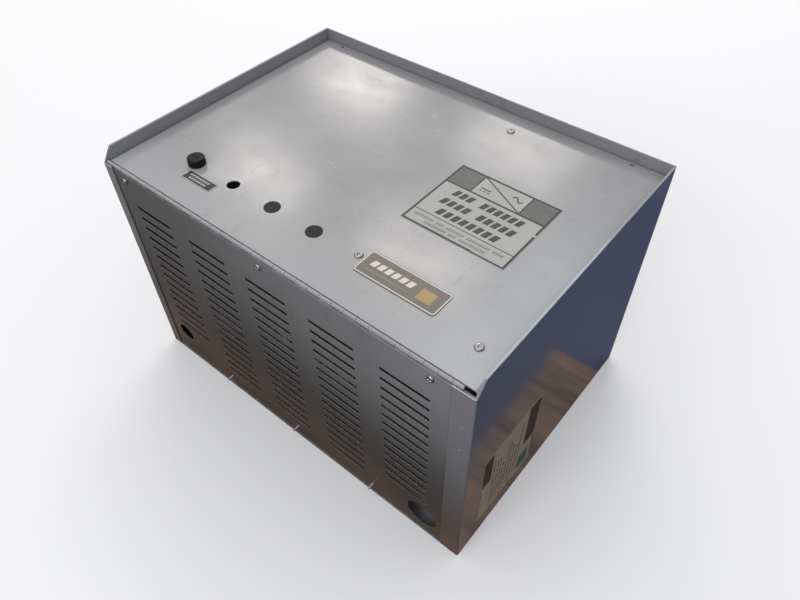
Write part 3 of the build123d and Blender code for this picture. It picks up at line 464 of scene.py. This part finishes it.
def sleeve_look(name, base, stripe, centres, reach):
    """A shrink sleeve on a can, with one pale stripe down each can at x = its centre."""
    look = Look(name, Coat_Weight=0.4, Coat_Roughness=0.2)
    colour = look.blend(base, tuple(c * 0.75 for c in base), look.level(look.noise(70.0), 0.35, 0.7))
    for x, y in centres:
        x_away = look.math("ABSOLUTE", look.math("SUBTRACT", look.axis("X"), at(x, y, 0).x))
        near = look.level(look.axis("Y"), at(x, y, 0).y - 0.2 * reach * MM, at(x, y, 0).y - 0.3 * reach * MM)
        colour = look.blend(colour, stripe, look.math("MULTIPLY", look.level(x_away, 0.0062, 0.0058), near))
    look.set("Base Color", colour)
    look.set("Roughness", look.level(look.noise(120.0, 4.0, 0.6), 0.3, 0.7, 0.28, 0.42))
    normal, _ = look.rounded(0.0004)
    look.bump(look.noise(250.0), 0.00006, normal, 0.3)
    return look


def make_looks():
    zinc = (0.42, 0.42, 0.40)
    return {
        # painted shade: the case's outer sides get a darker, bluer copy of the grey paint of the cover and
        # vent panel; case_shade repaints it inside the case and on the front flanges
        "case_paint": enamel("case_paint", (0.150, 0.153, 0.172), (0.07, 0.065, 0.06), 0.15, (0.5, 0.06),
                             worn=(0.56, 0.56, 0.57), marks=0.03, seed=1.0, shade=case_shade),
        "panel_paint": enamel("panel_paint", (0.265, 0.265, 0.275), (0.07, 0.06, 0.05), 0.24, (0.3, 0.10),
                              worn=(0.34, 0.33, 0.32), marks=0.03, seed=2.0, shade=panel_shade),
        "cover_paint": enamel("cover_paint", (0.258, 0.257, 0.260), (0.14, 0.135, 0.13), 0.23,
                              worn=(0.52, 0.52, 0.51), marks=0.030, seed=3.0, shade=cover_shade),
        "hinge_paint": enamel("hinge_paint", (0.30, 0.30, 0.31), (0.12, 0.11, 0.10), 0.28, marks=0.04,
                              seed=4.0),
        "bright_steel": metal("bright_steel", (0.55, 0.56, 0.58), 0.34, 5.0, (6, 1, 1)),
        "zinc": metal("zinc", zinc, 0.28, 6.0),
        "side_label_print": print_look("side_label_print", (0.40, 0.35, 0.25), seed=7.0),
        "cover_label_print": print_look("cover_label_print", (0.335, 0.332, 0.310), share=0.25, seed=8.0),
        "badge_print": print_look("badge_print", (0.135, 0.115, 0.097), roughness=0.34, seed=9.0),
        "fuse_label_print": print_look("fuse_label_print", (0.020, 0.020, 0.018), soil=(0.09, 0.085, 0.08),
                                       seed=10.0),
        "lamination": lamination_look("lamination"),
        "bobbin_board": moulded("bobbin_board", (0.50, 0.38, 0.20), 0.55, 11.0, 300.0, 0.00008),
        "winding_tape": wire_look("winding_tape", (0.62, 0.30, 0.10), (0.30, 0.12, 0.04)),
        "copper_wire": wire_look("copper_wire", (0.55, 0.20, 0.07), (0.25, 0.07, 0.03)),
        "capacitor_sleeve": sleeve_look("capacitor_sleeve", (0.020, 0.045, 0.13), (0.55, 0.56, 0.58),
                                        ((275.0, 258.0), (345.0, 258.0)), 31.0),
        "capacitor_can": metal("capacitor_can", (0.70, 0.71, 0.72), 0.36, 12.0, (1, 1, 8)),
        "copper_bar": metal("copper_bar", (0.72, 0.34, 0.18), 0.32, 13.0, (8, 1, 1), (0.20, 0.10, 0.06), 0.5),
        "aluminium": metal("aluminium", (0.52, 0.53, 0.55), 0.38, 14.0, (1, 12, 1)),
        "mica": moulded("mica", (0.66, 0.62, 0.50), 0.30, 15.0),
        "nickel_can": metal("nickel_can", (0.60, 0.58, 0.54), 0.36, 16.0, share=0.2, bevel=0.0001),
        "phenolic": moulded("phenolic", (0.009, 0.009, 0.009), 0.42, 17.0, 500.0, dust=(0.20, 0.19, 0.18),
                            share=0.05, specular=0.22),
        "brass_post": metal("brass_post", (0.70, 0.50, 0.22), 0.28, 18.0, (1, 1, 1), (0.24, 0.16, 0.07), 0.4),
        "fuse_element": moulded("fuse_element", (0.62, 0.60, 0.52), 0.45, 19.0),
        "tinned_copper": metal("tinned_copper", (0.62, 0.60, 0.56), 0.30, 20.0),
        "cable_cover": moulded("cable_cover", (0.020, 0.020, 0.021), 0.48, 21.0, 350.0, 0.00006),
        "lead_cover": moulded("lead_cover", (0.34, 0.030, 0.022), 0.42, 22.0),
        "plug_plastic": moulded("plug_plastic", (0.016, 0.015, 0.015), 0.60, 23.0, 600.0, 0.00004, share=0.15,
                                specular=0.3),
        "board_green": board_look("board_green"),
        "chip_black": moulded("chip_black", (0.018, 0.018, 0.020), 0.5, 24.0, 900.0),
        "connector_nylon": moulded("connector_nylon", (0.66, 0.62, 0.50), 0.42, 25.0),
        "fuse_glass": glass_look("fuse_glass"),
    }


def dress_nodes(looks):
    for name, node in nodes.items():
        node.data.materials.clear()
        node.data.materials.append(looks[SLOTS[name]].material)


# ---- mesh pieces ----
def add_piece(name, body, bm, materials, smooth=False):
    """Makes an object from a mesh in row-frame metres, and lets it ride on a body."""
    bmesh.ops.recalc_face_normals(bm, faces=bm.faces)
    for face in bm.faces:
        face.smooth = smooth
    data = bpy.data.meshes.new(name)
    bm.to_mesh(data)
    bm.free()
    for look in materials:
        data.materials.append(look.material)
    item = bpy.data.objects.new(name, data)
    bpy.context.scene.collection.objects.link(item)
    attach(item, body)
    return item


def add_prism(bm, outline, place, low, high, index=0):
    """A thin solid under a flat outline; place turns (u, v, height) into a point."""
    bottom = [bm.verts.new(place(u, v, low)) for u, v in outline]
    top = [bm.verts.new(place(u, v, high)) for u, v in outline]
    faces = [bm.faces.new(top), bm.faces.new(bottom[::-1])]
    for k in range(len(outline)):
        after = (k + 1) % len(outline)
        faces.append(bm.faces.new((bottom[k], bottom[after], top[after], top[k])))
    for face in faces:
        face.material_index = index


def join_rings(bm, rings, index=0, closed=False):
    """Walls between rings of corners, which are lists as long as each other or single points."""
    pairs = list(zip(rings, rings[1:]))
    if closed:
        pairs.append((rings[-1], rings[0]))
    for low, high in pairs:
        count = max(len(low), len(high))
        for k in range(count):
            after = (k + 1) % count
            corners = (low[k % len(low)], low[after % len(low)], high[after % len(high)], high[k % len(high)])
            corners = list(dict.fromkeys(corners))
            if len(corners) > 2:
                bm.faces.new(corners).material_index = index
    if not closed:
        for ring in (rings[0], rings[-1]):
            if len(ring) > 2:
                bm.faces.new(ring).material_index = index


def circle(radius, sides):
    """Corners of a regular outline about the origin; the origin alone if the radius is 0."""
    turns = [math.tau * k / sides for k in range(sides)] if radius else [0.0]
    return [(radius * math.cos(a), radius * math.sin(a)) for a in turns]


def lathe(bm, profile, place, sides=24, index=0, closed=False):
    """A turned solid from (radius, height) points; place turns (x, y, height) into a point."""
    rings = []
    for radius, height in profile:
        rings.append([bm.verts.new(place(x, y, height)) for x, y in circle(radius, sides)])
    join_rings(bm, rings, index, closed)


def tube(bm, points, radius, sides=8, index=0, closed=False):
    """A round wire along points."""
    count = len(points)
    rings = []
    side = None
    for k, point in enumerate(points):
        before = points[k - 1] if closed else points[max(k - 1, 0)]
        after = points[(k + 1) % count] if closed else points[min(k + 1, count - 1)]
        ahead = (after - before).normalized()
        side = side or ahead.orthogonal()
        side = (side - ahead * side.dot(ahead)).normalized()
        up = ahead.cross(side)
        turns = [math.tau * j / sides for j in range(sides)]
        rings.append([bm.verts.new(point + (side * math.cos(a) + up * math.sin(a)) * radius) for a in turns])
    join_rings(bm, rings, index, closed)


def rounded_outline(width, depth, corner, steps=5):
    """A rectangle about the origin with round corners."""
    outline = []
    for turn, (sx, sy) in enumerate(((1, 1), (-1, 1), (-1, -1), (1, -1))):
        for k in range(steps + 1):
            angle = math.radians(90 * turn + 90 * k / steps)
            x = sx * (width / 2 - corner) + corner * math.cos(angle)
            y = sy * (depth / 2 - corner) + corner * math.sin(angle)
            outline.append((x, y))
    return outline


def solids(node):
    """The boxes of a CAD node's separate solids in case millimetres, in order of x and then y."""
    bm = bmesh.new()
    bm.from_mesh(nodes[node].data)
    bmesh.ops.remove_doubles(bm, verts=bm.verts, dist=1e-6)
    left = set(bm.verts)
    boxes = []
    while left:
        edge = [left.pop()]
        found = list(edge)
        while edge:
            for link in edge.pop().link_edges:
                for vert in link.verts:
                    if vert in left:
                        left.remove(vert)
                        edge.append(vert)
                        found.append(vert)
        places = [(vert.co - CORNER) / MM for vert in found]
        low = Vector([round(min(c), 3) for c in zip(*places)])
        high = Vector([round(max(c), 3) for c in zip(*places)])
        boxes.append((low, high))
    bm.free()
    return sorted(boxes, key=lambda box: tuple(box[0]))


def bar(u0, u1, v0, v1):
    return [(u0, v0), (u1, v0), (u1, v1), (u0, v1)]


def border(u0, u1, v0, v1, width):
    """Four strips just inside a rectangle."""
    return [
        bar(u0, u1, v0, v0 + width),
        bar(u0, u1, v1 - width, v1),
        bar(u0, u0 + width, v0 + width, v1 - width),
        bar(u1 - width, u1, v0 + width, v1 - width),
    ]


def stroke(points, width):
    """One outline along a line of points."""
    left, right = [], []
    for k, (u, v) in enumerate(points):
        before = points[max(k - 1, 0)]
        after = points[min(k + 1, len(points) - 1)]
        du, dv = after[0] - before[0], after[1] - before[1]
        size = math.hypot(du, dv)
        nu, nv = -dv / size * width / 2, du / size * width / 2
        left.append((u + nu, v + nv))
        right.append((u - nu, v - nv))
    return left + right[::-1]


INK = 0.05  # how far the ink stands out, in millimetres


def add_print(name, body, place, inks):
    """Ink on a label: inks is a list of (look, outlines)."""
    bm = bmesh.new()
    for index, (_, outlines) in enumerate(inks):
        for outline in outlines:
            add_prism(bm, outline, place, -0.02, INK, index)
    return add_piece(name, body, bm, [look for look, _ in inks])


def on_top(node):
    low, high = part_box(node)
    return lambda u, v, w: Vector((low.x + u * MM, low.y + v * MM, high.z + w * MM))


def on_right(node):
    """The ink ends flush with the outside of the node, because it is the outermost thing on the right."""
    low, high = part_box(node)
    return lambda u, v, w: Vector((high.x + (w - INK) * MM, low.y + u * MM, low.z + v * MM))


def add_side_film(looks):
    """The film of the side label, thinner by its ink."""
    low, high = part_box("side_label")
    size = (high - low) / MM
    bm = bmesh.new()
    add_prism(bm, bar(0.0, size.y, 0.0, size.z), on_right("side_label"), INK - size.x, 0.0)
    film = add_piece("side_label_film", "case", bm, [looks["side_label_print"]])
    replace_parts(film, "side_label")


LEAN = 0.25  # how far a block that stands for a letter leans, as a share of its height
BLOCK = 0.72  # its width, as a share of the pitch


def slanted(u0, u1, v0, v1):
    """A leaning block, which stands for a letter without being one."""
    shift = (v1 - v0) * LEAN
    return [(u0, v0), (u1, v0), (u1 + shift, v1), (u0 + shift, v1)]


def block_row(u0, u1, v0, v1, pitch, gaps=()):
    """A row of leaning blocks with word gaps after some of them."""
    count = int((u1 - u0) / pitch)
    return [slanted(u0 + pitch * k, u0 + pitch * (k + BLOCK), v0, v1) for k in range(count) if k not in gaps]


def add_cover_label_ink():
    dark = print_look("ink_dark", (0.022, 0.024, 0.021), soil=(0.10, 0.10, 0.09), seed=30.0)
    grey = print_look("ink_grey", (0.095, 0.094, 0.088), soil=(0.23, 0.23, 0.22), share=0.8, seed=31.0)
    faint = print_look("ink_faint", (0.17, 0.17, 0.155), seed=32.0)

    sine = [(62.0 + k * 0.9, 79.5 + 2.6 * math.sin(k * math.tau / 12)) for k in range(13)]
    dark_marks = [
        bar(0.3, 104.7, 89.5, 91.7),
        bar(0.3, 72.0, 0.3, 2.5),
        bar(72.0, 104.7, 0.3, 1.9),
        bar(0.3, 2.5, 2.5, 89.5),
        bar(102.5, 104.7, 1.9, 47.5),
        bar(102.5, 104.7, 50.0, 89.5),
        bar(2.5, 102.5, 63.0, 65.0),
        bar(26.6, 28.1, 65.0, 89.5),
        bar(76.9, 78.4, 65.0, 89.5),
        stroke([(28.4, 89.3), (76.6, 65.2)], 1.3),
        stroke(sine, 1.4),
        bar(32.5, 43.0, 73.8, 75.2),
        bar(2.5, 102.5, 17.2, 18.1),
    ]
    dark_marks += [bar(32.5 + 4.0 * k, 35.0 + 4.0 * k, 70.6, 71.8) for k in range(3)]
    dark_marks += block_row(17.0, 93.0, 50.0, 58.5, 7.2, (3,))
    dark_marks += block_row(14.0, 93.0, 35.5, 44.0, 7.6, (4,))
    dark_marks += block_row(20.0, 88.0, 21.5, 30.0, 7.9)
    blocks = [bar(2.5, 26.6, 65.0, 89.5), bar(78.4, 102.5, 65.0, 89.5)]
    small = block_row(6.0, 98.0, 10.4, 13.4, 2.6, (8, 12, 20, 30))
    small += block_row(20.0, 84.0, 5.0, 8.0, 2.6, (9, 13))
    add_print("cover_label_ink", "cover", on_top("cover_label"),
              [(dark, dark_marks), (grey, blocks), (faint, small)])


def add_badge_ink():
    cream = print_look("ink_cream", (0.60, 0.56, 0.47), seed=33.0)
    sage = print_look("ink_sage", (0.15, 0.19, 0.13), seed=34.0)
    ochre = print_look("ink_ochre", (0.34, 0.24, 0.10), seed=35.0)
    outer, inner = rounded_outline(80.2, 25.6, 2.4), rounded_outline(78.2, 23.6, 1.6)
    marks = []
    for k in range(len(outer)):
        after = (k + 1) % len(outer)
        marks.append([(40.5 + u, 13.3 + v) for u, v in (outer[k], outer[after], inner[after], inner[k])])
    marks += block_row(8.0, 52.0, 12.0, 18.5, 7.3)
    line, square = bar(8.0, 52.0, 6.6, 8.4), bar(58.0, 72.0, 6.6, 18.5)
    add_print("name_badge_ink", "cover", on_top("name_badge"),
              [(cream, marks), (sage, [line]), (ochre, [square])])


def add_fuse_label_ink():
    white = print_look("ink_white", (0.34, 0.335, 0.31), soil=(0.10, 0.10, 0.09), seed=37.0)
    bright = print_look("ink_bright", (0.56, 0.55, 0.50), seed=36.0)
    words = block_row(4.6, 34.0, 6.9, 9.3, 3.3) + block_row(6.8, 30.8, 2.9, 5.3, 3.3)
    add_print("fuse_label_ink", "cover", on_top("fuse_label"),
              [(white, words), (bright, border(0.2, 37.8, 0.2, 12.0, 0.6))])


def add_side_label_ink():
    brown = print_look("ink_brown", (0.040, 0.027, 0.021), soil=(0.12, 0.09, 0.07), seed=38.0)
    teal = print_look("ink_teal", (0.045, 0.13, 0.14), seed=39.0)
    heavy = [bar(1.0, 14.0, 65.5, 110.7), bar(70.8, 88.6, 49.0, 110.7)]
    for k in range(9):
        u = 18.0 + 5.4 * k
        foot = 6.0 + 3.0 * (k % 3)
        heavy += [bar(u, u + 1.5, foot + 8.0 * j, foot + 8.0 * j + 5.0 + j % 3) for j in range(11 - k % 4)]
    heavy += border(0.3, 89.3, 0.3, 111.4, 0.6)
    add_print("side_label_ink", "case", on_right("side_label"),
              [(brown, heavy), (teal, [bar(66.5, 84.0, 8.0, 32.5)])])


# ---- screws ----
RECESS = 0.62  # depth of a cross recess, as a share of the head's height
PANEL_HEAD, BOARD_HEAD = 2.0, 2.1  # heights of the screws' heads


def cross_recess(x, y, head_r):
    """Depth of a cross recess at a place on a screw's head, from 0 to 1."""
    def within(a, half, soft):
        return min(1.0, max(0.0, (half + soft - abs(a)) / (2 * soft)))

    thin, long, soft = 0.13 * head_r, 0.52 * head_r, 0.05 * head_r
    one = within(x, thin, soft) * within(y, long, 2 * soft)
    two = within(y, thin, soft) * within(x, long, 2 * soft)
    return max(one, two)


def screw(bm, place, head_r, head_h, shank_r, length):
    """A cross-recess pan-head screw: its head stands on z = 0 and its threaded shank goes down."""
    sides, steps, pitch = 40, 14, 0.7
    rings = [[bm.verts.new(place(0, 0, head_h * (1 - RECESS)))]]
    for step in range(1, steps + 1):
        r = head_r * math.sin(math.pi / 2 * step / steps) ** 0.8
        dome = head_h * (1 - 0.25 * (r / head_r) ** 2 - 0.45 * (r / head_r) ** 10)
        ring = []
        for x, y in circle(r, sides):
            ring.append(bm.verts.new(place(x, y, dome - RECESS * head_h * cross_recess(x, y, head_r))))
        rings.append(ring)
    for r in (head_r, shank_r):
        rings.append([bm.verts.new(place(x, y, 0.0)) for x, y in circle(r, sides)])
    count = int(length / pitch * 6)
    for step in range(1, count + 1):
        z = -length * step / count
        tip = min(1.0, 0.55 + (length + z) / (1.2 * shank_r))
        ring = []
        for k, (x, y) in enumerate(circle(shank_r * tip, sides)):
            phase = (z / pitch + k / sides) % 1.0
            groove = 1 - 0.16 * abs(2 * phase - 1)
            ring.append(bm.verts.new(place(x * groove, y * groove, z)))
        rings.append(ring)
    join_rings(bm, rings)


def add_screws(looks):
    """The screws that show on the outside, with cross recesses and real threads."""
    zinc = [looks["zinc"]]
    bm = bmesh.new()
    for low, high in solids("vent_panel_screws"):
        x, z = (low.x + high.x) / 2, (low.z + high.z) / 2
        head_r, seat, tip = (high.x - low.x) / 2, low.y + PANEL_HEAD, high.y
        place = lambda a, b, h, x=x, y=seat, z=z: at(x + a, y - h, z + b)
        screw(bm, place, head_r, PANEL_HEAD, 1.7, tip - seat)
    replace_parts(add_piece("vent_panel_screws_threaded", "case", bm, zinc, True), "vent_panel_screws")
    bm = bmesh.new()
    for low, high in solids("vent_panel_end_screws"):
        x, z = (low.x + high.x) / 2, (low.z + high.z) / 2
        head_r, seat, tip = (high.x - low.x) / 2, high.y - PANEL_HEAD, low.y
        place = lambda a, b, h, x=x, y=seat, z=z: at(x + a, y + h, z - b)
        screw(bm, place, head_r, PANEL_HEAD, 1.5, seat - tip)
    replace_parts(add_piece("end_screws_threaded", "case", bm, zinc, True), "vent_panel_end_screws")
    bm = bmesh.new()
    for low, high in solids("board_screws"):
        x, y, head_r = (low.x + high.x) / 2, (low.y + high.y) / 2, (high.x - low.x) / 2
        turn = 1 if high.z > COVER_Z else -1
        seat = high.z - BOARD_HEAD if turn > 0 else low.z + BOARD_HEAD
        place = lambda a, b, h, x=x, y=y, z=seat, t=turn: at(x + a, y + b * t, z + h * t)
        screw(bm, place, head_r, BOARD_HEAD, 1.5, 8.0)
    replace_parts(add_piece("board_screws_threaded", "cover", bm, zinc, True), "board_screws")


# ---- windings ----
def add_choke(looks):
    """Wire turns round a powder core."""
    low, high = span("choke_winding")
    middle = (low + high) / 2
    outer, height = (high.x - low.x) / 2, high.z - low.z
    inner, wire, turns = 11.0, 0.9, 36
    inset = 2.2  # from the outside of the turns to the core
    bm = bmesh.new()
    core = rounded_outline(outer - inner - 2 * inset, height - 2 * inset, 3.0, 4)
    mid_r = (outer + inner) / 2
    here = lambda a, b, h: at(middle.x + a, middle.y + b, middle.z + h)
    lathe(bm, [(mid_r + u, v) for u, v in core], here, 72, 1, True)
    loop = rounded_outline(outer - inner - 2 * wire, height - 2 * wire, 5.0, 5)
    for k in range(turns):
        angle = math.tau * (k + 0.5) / turns
        points = []
        for step, (u, v) in enumerate(loop):
            lean = angle + 0.4 * math.tau / turns * math.sin(math.tau * step / len(loop))
            points.append(here((mid_r + u) * math.cos(lean), (mid_r + u) * math.sin(lean), v))
        tube(bm, points, wire * MM, 8, 0, True)
    powder = moulded("choke_core", (0.10, 0.11, 0.05), 0.5, 40.0)
    piece = add_piece("choke_turns", "case", bm, [looks["copper_wire"], powder], True)
    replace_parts(piece, "choke_winding")


def add_transformer_coil(looks):
    """Layered turns of enamelled wire on the bobbin, two tape straps and the sleeves of its leads."""
    low, high = span("transformer_winding")
    width, depth, height = high - low
    middle = (low + high) / 2
    here = lambda a, b, h: at(middle.x + a, middle.y + b, low.z + h)
    wire, corner, wall = 1.1, 14.0, 21.9
    bm = bmesh.new()
    outer = rounded_outline(width - 2 * wire, depth - 2 * wire, corner - wire, 6)
    inner = rounded_outline(width - 2 * wall, depth - 2 * (wall - 1.9), 1.0, 6)
    rings = []
    for outline, h in ((outer, 0.2), (outer, height - 0.2), (inner, height - 0.2), (inner, 0.2)):
        rings.append([bm.verts.new(here(x, y, h)) for x, y in outline])
    join_rings(bm, rings, 0, True)
    count = int(height / (2 * wire))
    for k in range(count):
        h = wire + k * (height - 2 * wire) / (count - 1)
        tube(bm, [here(x, y, h) for x, y in outer], wire * MM, 8, 0, True)
    for x in (-11.5, 10.5):
        for y in (-depth / 2, depth / 2):
            strap = bar(x - 5, x + 5, 0.1, height - 0.1)
            add_prism(bm, strap, lambda u, v, w, y=y: here(u, y + w, v), -0.25, 0.25, 1)
    tape = moulded("coil_tape", (0.62, 0.50, 0.16), 0.35, 41.0)
    piece = add_piece("transformer_turns", "case", bm, [looks["winding_tape"], tape], False)
    for face in piece.data.polygons:
        face.use_smooth = len(face.vertices) == 4 and face.area < 4e-5
    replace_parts(piece, "transformer_winding")
    bm = bmesh.new()
    thick, thin = 2.9, 2.1
    leads = [(x, 94.0, thick) for x in (128.0, 150.0, 172.0)] + [(120.0, 74.0, thin), (116.0, 56.0, thin)]
    for x, z, r in leads:
        profile = [(r - 0.7, 0.0), (r, 0.0), (r, 8.0), (r - 0.7, 8.0)]
        lathe(bm, profile, lambda a, b, h, x=x, z=z: at(x + a, low.y - h, z + b), 16, 0, True)
    sleeving = moulded("sleeving", (0.50, 0.40, 0.14), 0.4, 42.0)
    add_piece("lead_sleeves", "case", bm, [sleeving], True)


# ---- small parts on the control board's lower side ----
PIN_PITCH = 2.54


def below_board():
    """What turns x, y and a distance below the control board into a place."""
    low, _ = span("control_board")
    return lambda x, y, h: at(x, y, low.z - h)


def add_chip_legs(looks):
    """Seven bent legs on each side of every chip."""
    here = below_board()
    bm = bmesh.new()
    for low, high in solids("board_chips"):
        x, y = (low.x + high.x) / 2, (low.y + high.y) / 2
        half = (high.x - low.x) / 2
        leg = [(half - 0.3, 2.0), (half + 0.8, 2.0), (half + 1.1, 1.6), (half + 1.1, 0.0), (half + 0.75, 0.0),
               (half + 0.75, 1.5), (half + 0.6, 1.65), (half - 0.3, 1.65)]
        for side in (-1, 1):
            for k in range(-3, 4):
                place = lambda u, v, w, s=side, k=k, x=x, y=y: here(x + s * u, y + PIN_PITCH * k + w, v)
                add_prism(bm, leg, place, -0.3, 0.3)
    add_piece("board_chip_legs", "cover", bm, [looks["tinned_copper"]])


def add_traces():
    """Raised lines of copper under the solder mask: three columns between the chips and two bundles."""
    here = below_board()
    bm = bmesh.new()
    for column in range(3):
        for k in range(6):
            x = 306.5 + 30 * column + k
            run = [(x, 138 + k), (x, 196 - 9 * k), (x + 3, 201 - 9 * k), (x + 3, 240 - k)]
            add_prism(bm, stroke(run, 0.5), here, -0.01, 0.06)
    for k in range(9):
        y = 122 + k
        run = [(268 + 3 * k, y), (290 + 2 * k, y), (296 + 2 * k, y + 6), (396, y + 6)]
        add_prism(bm, stroke(run, 0.55), here, -0.01, 0.06)
        y = 244 + 1.1 * k
        run = [(274 + 3 * k, y), (330 + 3 * k, y), (338 + 3 * k, y + 8), (384, y + 8)]
        add_prism(bm, stroke(run, 0.55), here, -0.01, 0.06)
    mask = moulded("trace_green", (0.045, 0.20, 0.075), 0.25, 43.0)
    add_piece("board_traces", "cover", bm, [mask])


def add_resistors(looks):
    """Two rows of small resistors with colour bands, on bent wire ends."""
    tan = moulded("resistor_body", (0.56, 0.42, 0.24), 0.4, 44.0)
    bands = [moulded("band_brown", (0.10, 0.035, 0.015), 0.4, 45.0),
             moulded("band_red", (0.45, 0.03, 0.02), 0.4, 46.0),
             moulded("band_violet", (0.13, 0.05, 0.30), 0.4, 47.0),
             moulded("band_gold", (0.50, 0.34, 0.08), 0.3, 48.0)]
    first_band, gold, wire = 1, 4, 5  # places in the piece's list of looks
    half = [(1.0, 1.6), (1.2, 1.9), (1.2, 2.8), (0.9, 3.2), (0, 3.2)]
    body = [(r, -h) for r, h in reversed(half)] + half
    lift = 1.7
    end = [(5.1, 0.0), (5.1, 1.1), (4.9, 1.55), (4.5, lift), (3.1, lift)]
    here = below_board()
    bm = bmesh.new()
    places = [(276.0, 134.0 + 6.2 * k) for k in range(20)] + [(387.0, 134.0 + 6.2 * k) for k in range(16)]
    for number, (x, y) in enumerate(places):
        along = lambda a, b, h, x=x, y=y: here(x + h, y + a, lift + b)
        lathe(bm, body, along, 12, 0)
        for k, h in enumerate((-2.35, -0.9, 0.1, 2.1)):
            r = 1.22 if abs(h) > 1.9 else 1.02
            band = [(r - 0.1, h), (r, h), (r, h + 0.5), (r - 0.1, h + 0.5)]
            tone = gold if k == 3 else first_band + (number * 5 + k * 7) % 3
            lathe(bm, band, along, 12, tone, True)
        for side in (-1, 1):
            tube(bm, [here(x + side * u, y, v) for u, v in end], 0.3 * MM, 6, wire)
    add_piece("board_resistors", "cover", bm, [tan, *bands, looks["tinned_copper"]], True)


def add_transistors(looks):
    """Three standing transistors with metal tabs, and three square trimmers with brass screws."""
    black, tinned, blue, brass = range(4)  # places in the piece's list of looks
    here = below_board()
    standing = lambda u, v, w: here(u, 262.0 + w, v)
    bm = bmesh.new()
    for x in (306.0, 322.0, 338.0):
        add_prism(bm, bar(x - 5.0, x + 5.0, 4.0, 13.5), standing, -1.8, 2.6, black)
        add_prism(bm, bar(x - 5.1, x + 5.1, 4.0, 19.5), standing, 2.6, 3.9, tinned)
        for k in (-1, 0, 1):
            pin = x + PIN_PITCH * k
            add_prism(bm, bar(pin - 0.4, pin + 0.4, 0.0, 4.2), standing, 0.0, 0.6, tinned)
    dial = [(0, 5.7), (1.7, 5.7), (2.0, 5.4), (2.0, 4.9)]
    x, side = 399.0, 9.6
    for y in (136.0, 148.0, 160.0):
        add_prism(bm, bar(x - side / 2, x + side / 2, y - side / 2, y + side / 2), here, 0.0, 5.0, blue)
        lathe(bm, dial, lambda a, b, h, y=y: here(x + a, y + b, h), 20, brass)
    trim = moulded("trimmer_blue", (0.02, 0.10, 0.30), 0.35, 49.0)
    add_piece("board_transistors", "cover", bm,
              [looks["chip_black"], looks["tinned_copper"], trim, looks["brass_post"]])


# ---- capacitor tops ----
def add_capacitor_tops(looks):
    """The sealing discs and vents between the large capacitors' terminals, and their crimped rims."""
    bm = bmesh.new()
    for low, high in solids("dc_capacitors"):
        x, y, top = (low.x + high.x) / 2, (low.y + high.y) / 2, high.z - 2.5
        radius = (high.x - low.x) / 2
        here = lambda a, b, h, x=x, y=y, z=top: at(x + a, y + b, z + h)
        lathe(bm, [(radius - 3.5, -1.2), (radius - 3.5, -0.9), (0, -0.9), (0, -1.2)], here, 64, 0)
        vent_place = lambda a, b, h, place=here: place(a + 15, b, h)
        lathe(bm, [(0, -0.2), (3.2, -0.2), (3.6, -0.5), (3.6, -0.9)], vent_place, 24, 1)
        rim = rounded_outline(1.6, 1.0, 0.45, 3)
        lathe(bm, [(radius - 2.6 + u, 0.1 + v) for u, v in rim], here, 96, 2, True)
    disc = moulded("capacitor_disc", (0.03, 0.028, 0.026), 0.42, 50.0)
    vent = moulded("capacitor_vent", (0.22, 0.05, 0.03), 0.45, 51.0)
    add_piece("capacitor_tops", "case", bm, [disc, vent, looks["capacitor_can"]], True)


# ---- hand over ----
add_camera()
add_floor()
add_ceiling()
add_sky()
bpy.context.scene.view_settings.view_transform = "Standard"
looks = make_looks()
dress_nodes(looks)
add_cover_label_ink()
add_badge_ink()
add_fuse_label_ink()
add_side_film(looks)
add_side_label_ink()
add_screws(looks)
add_choke(looks)
add_transformer_coil(looks)
add_chip_legs(looks)
add_traces()
add_resistors(looks)
add_transistors(looks)
add_capacitor_tops(looks)
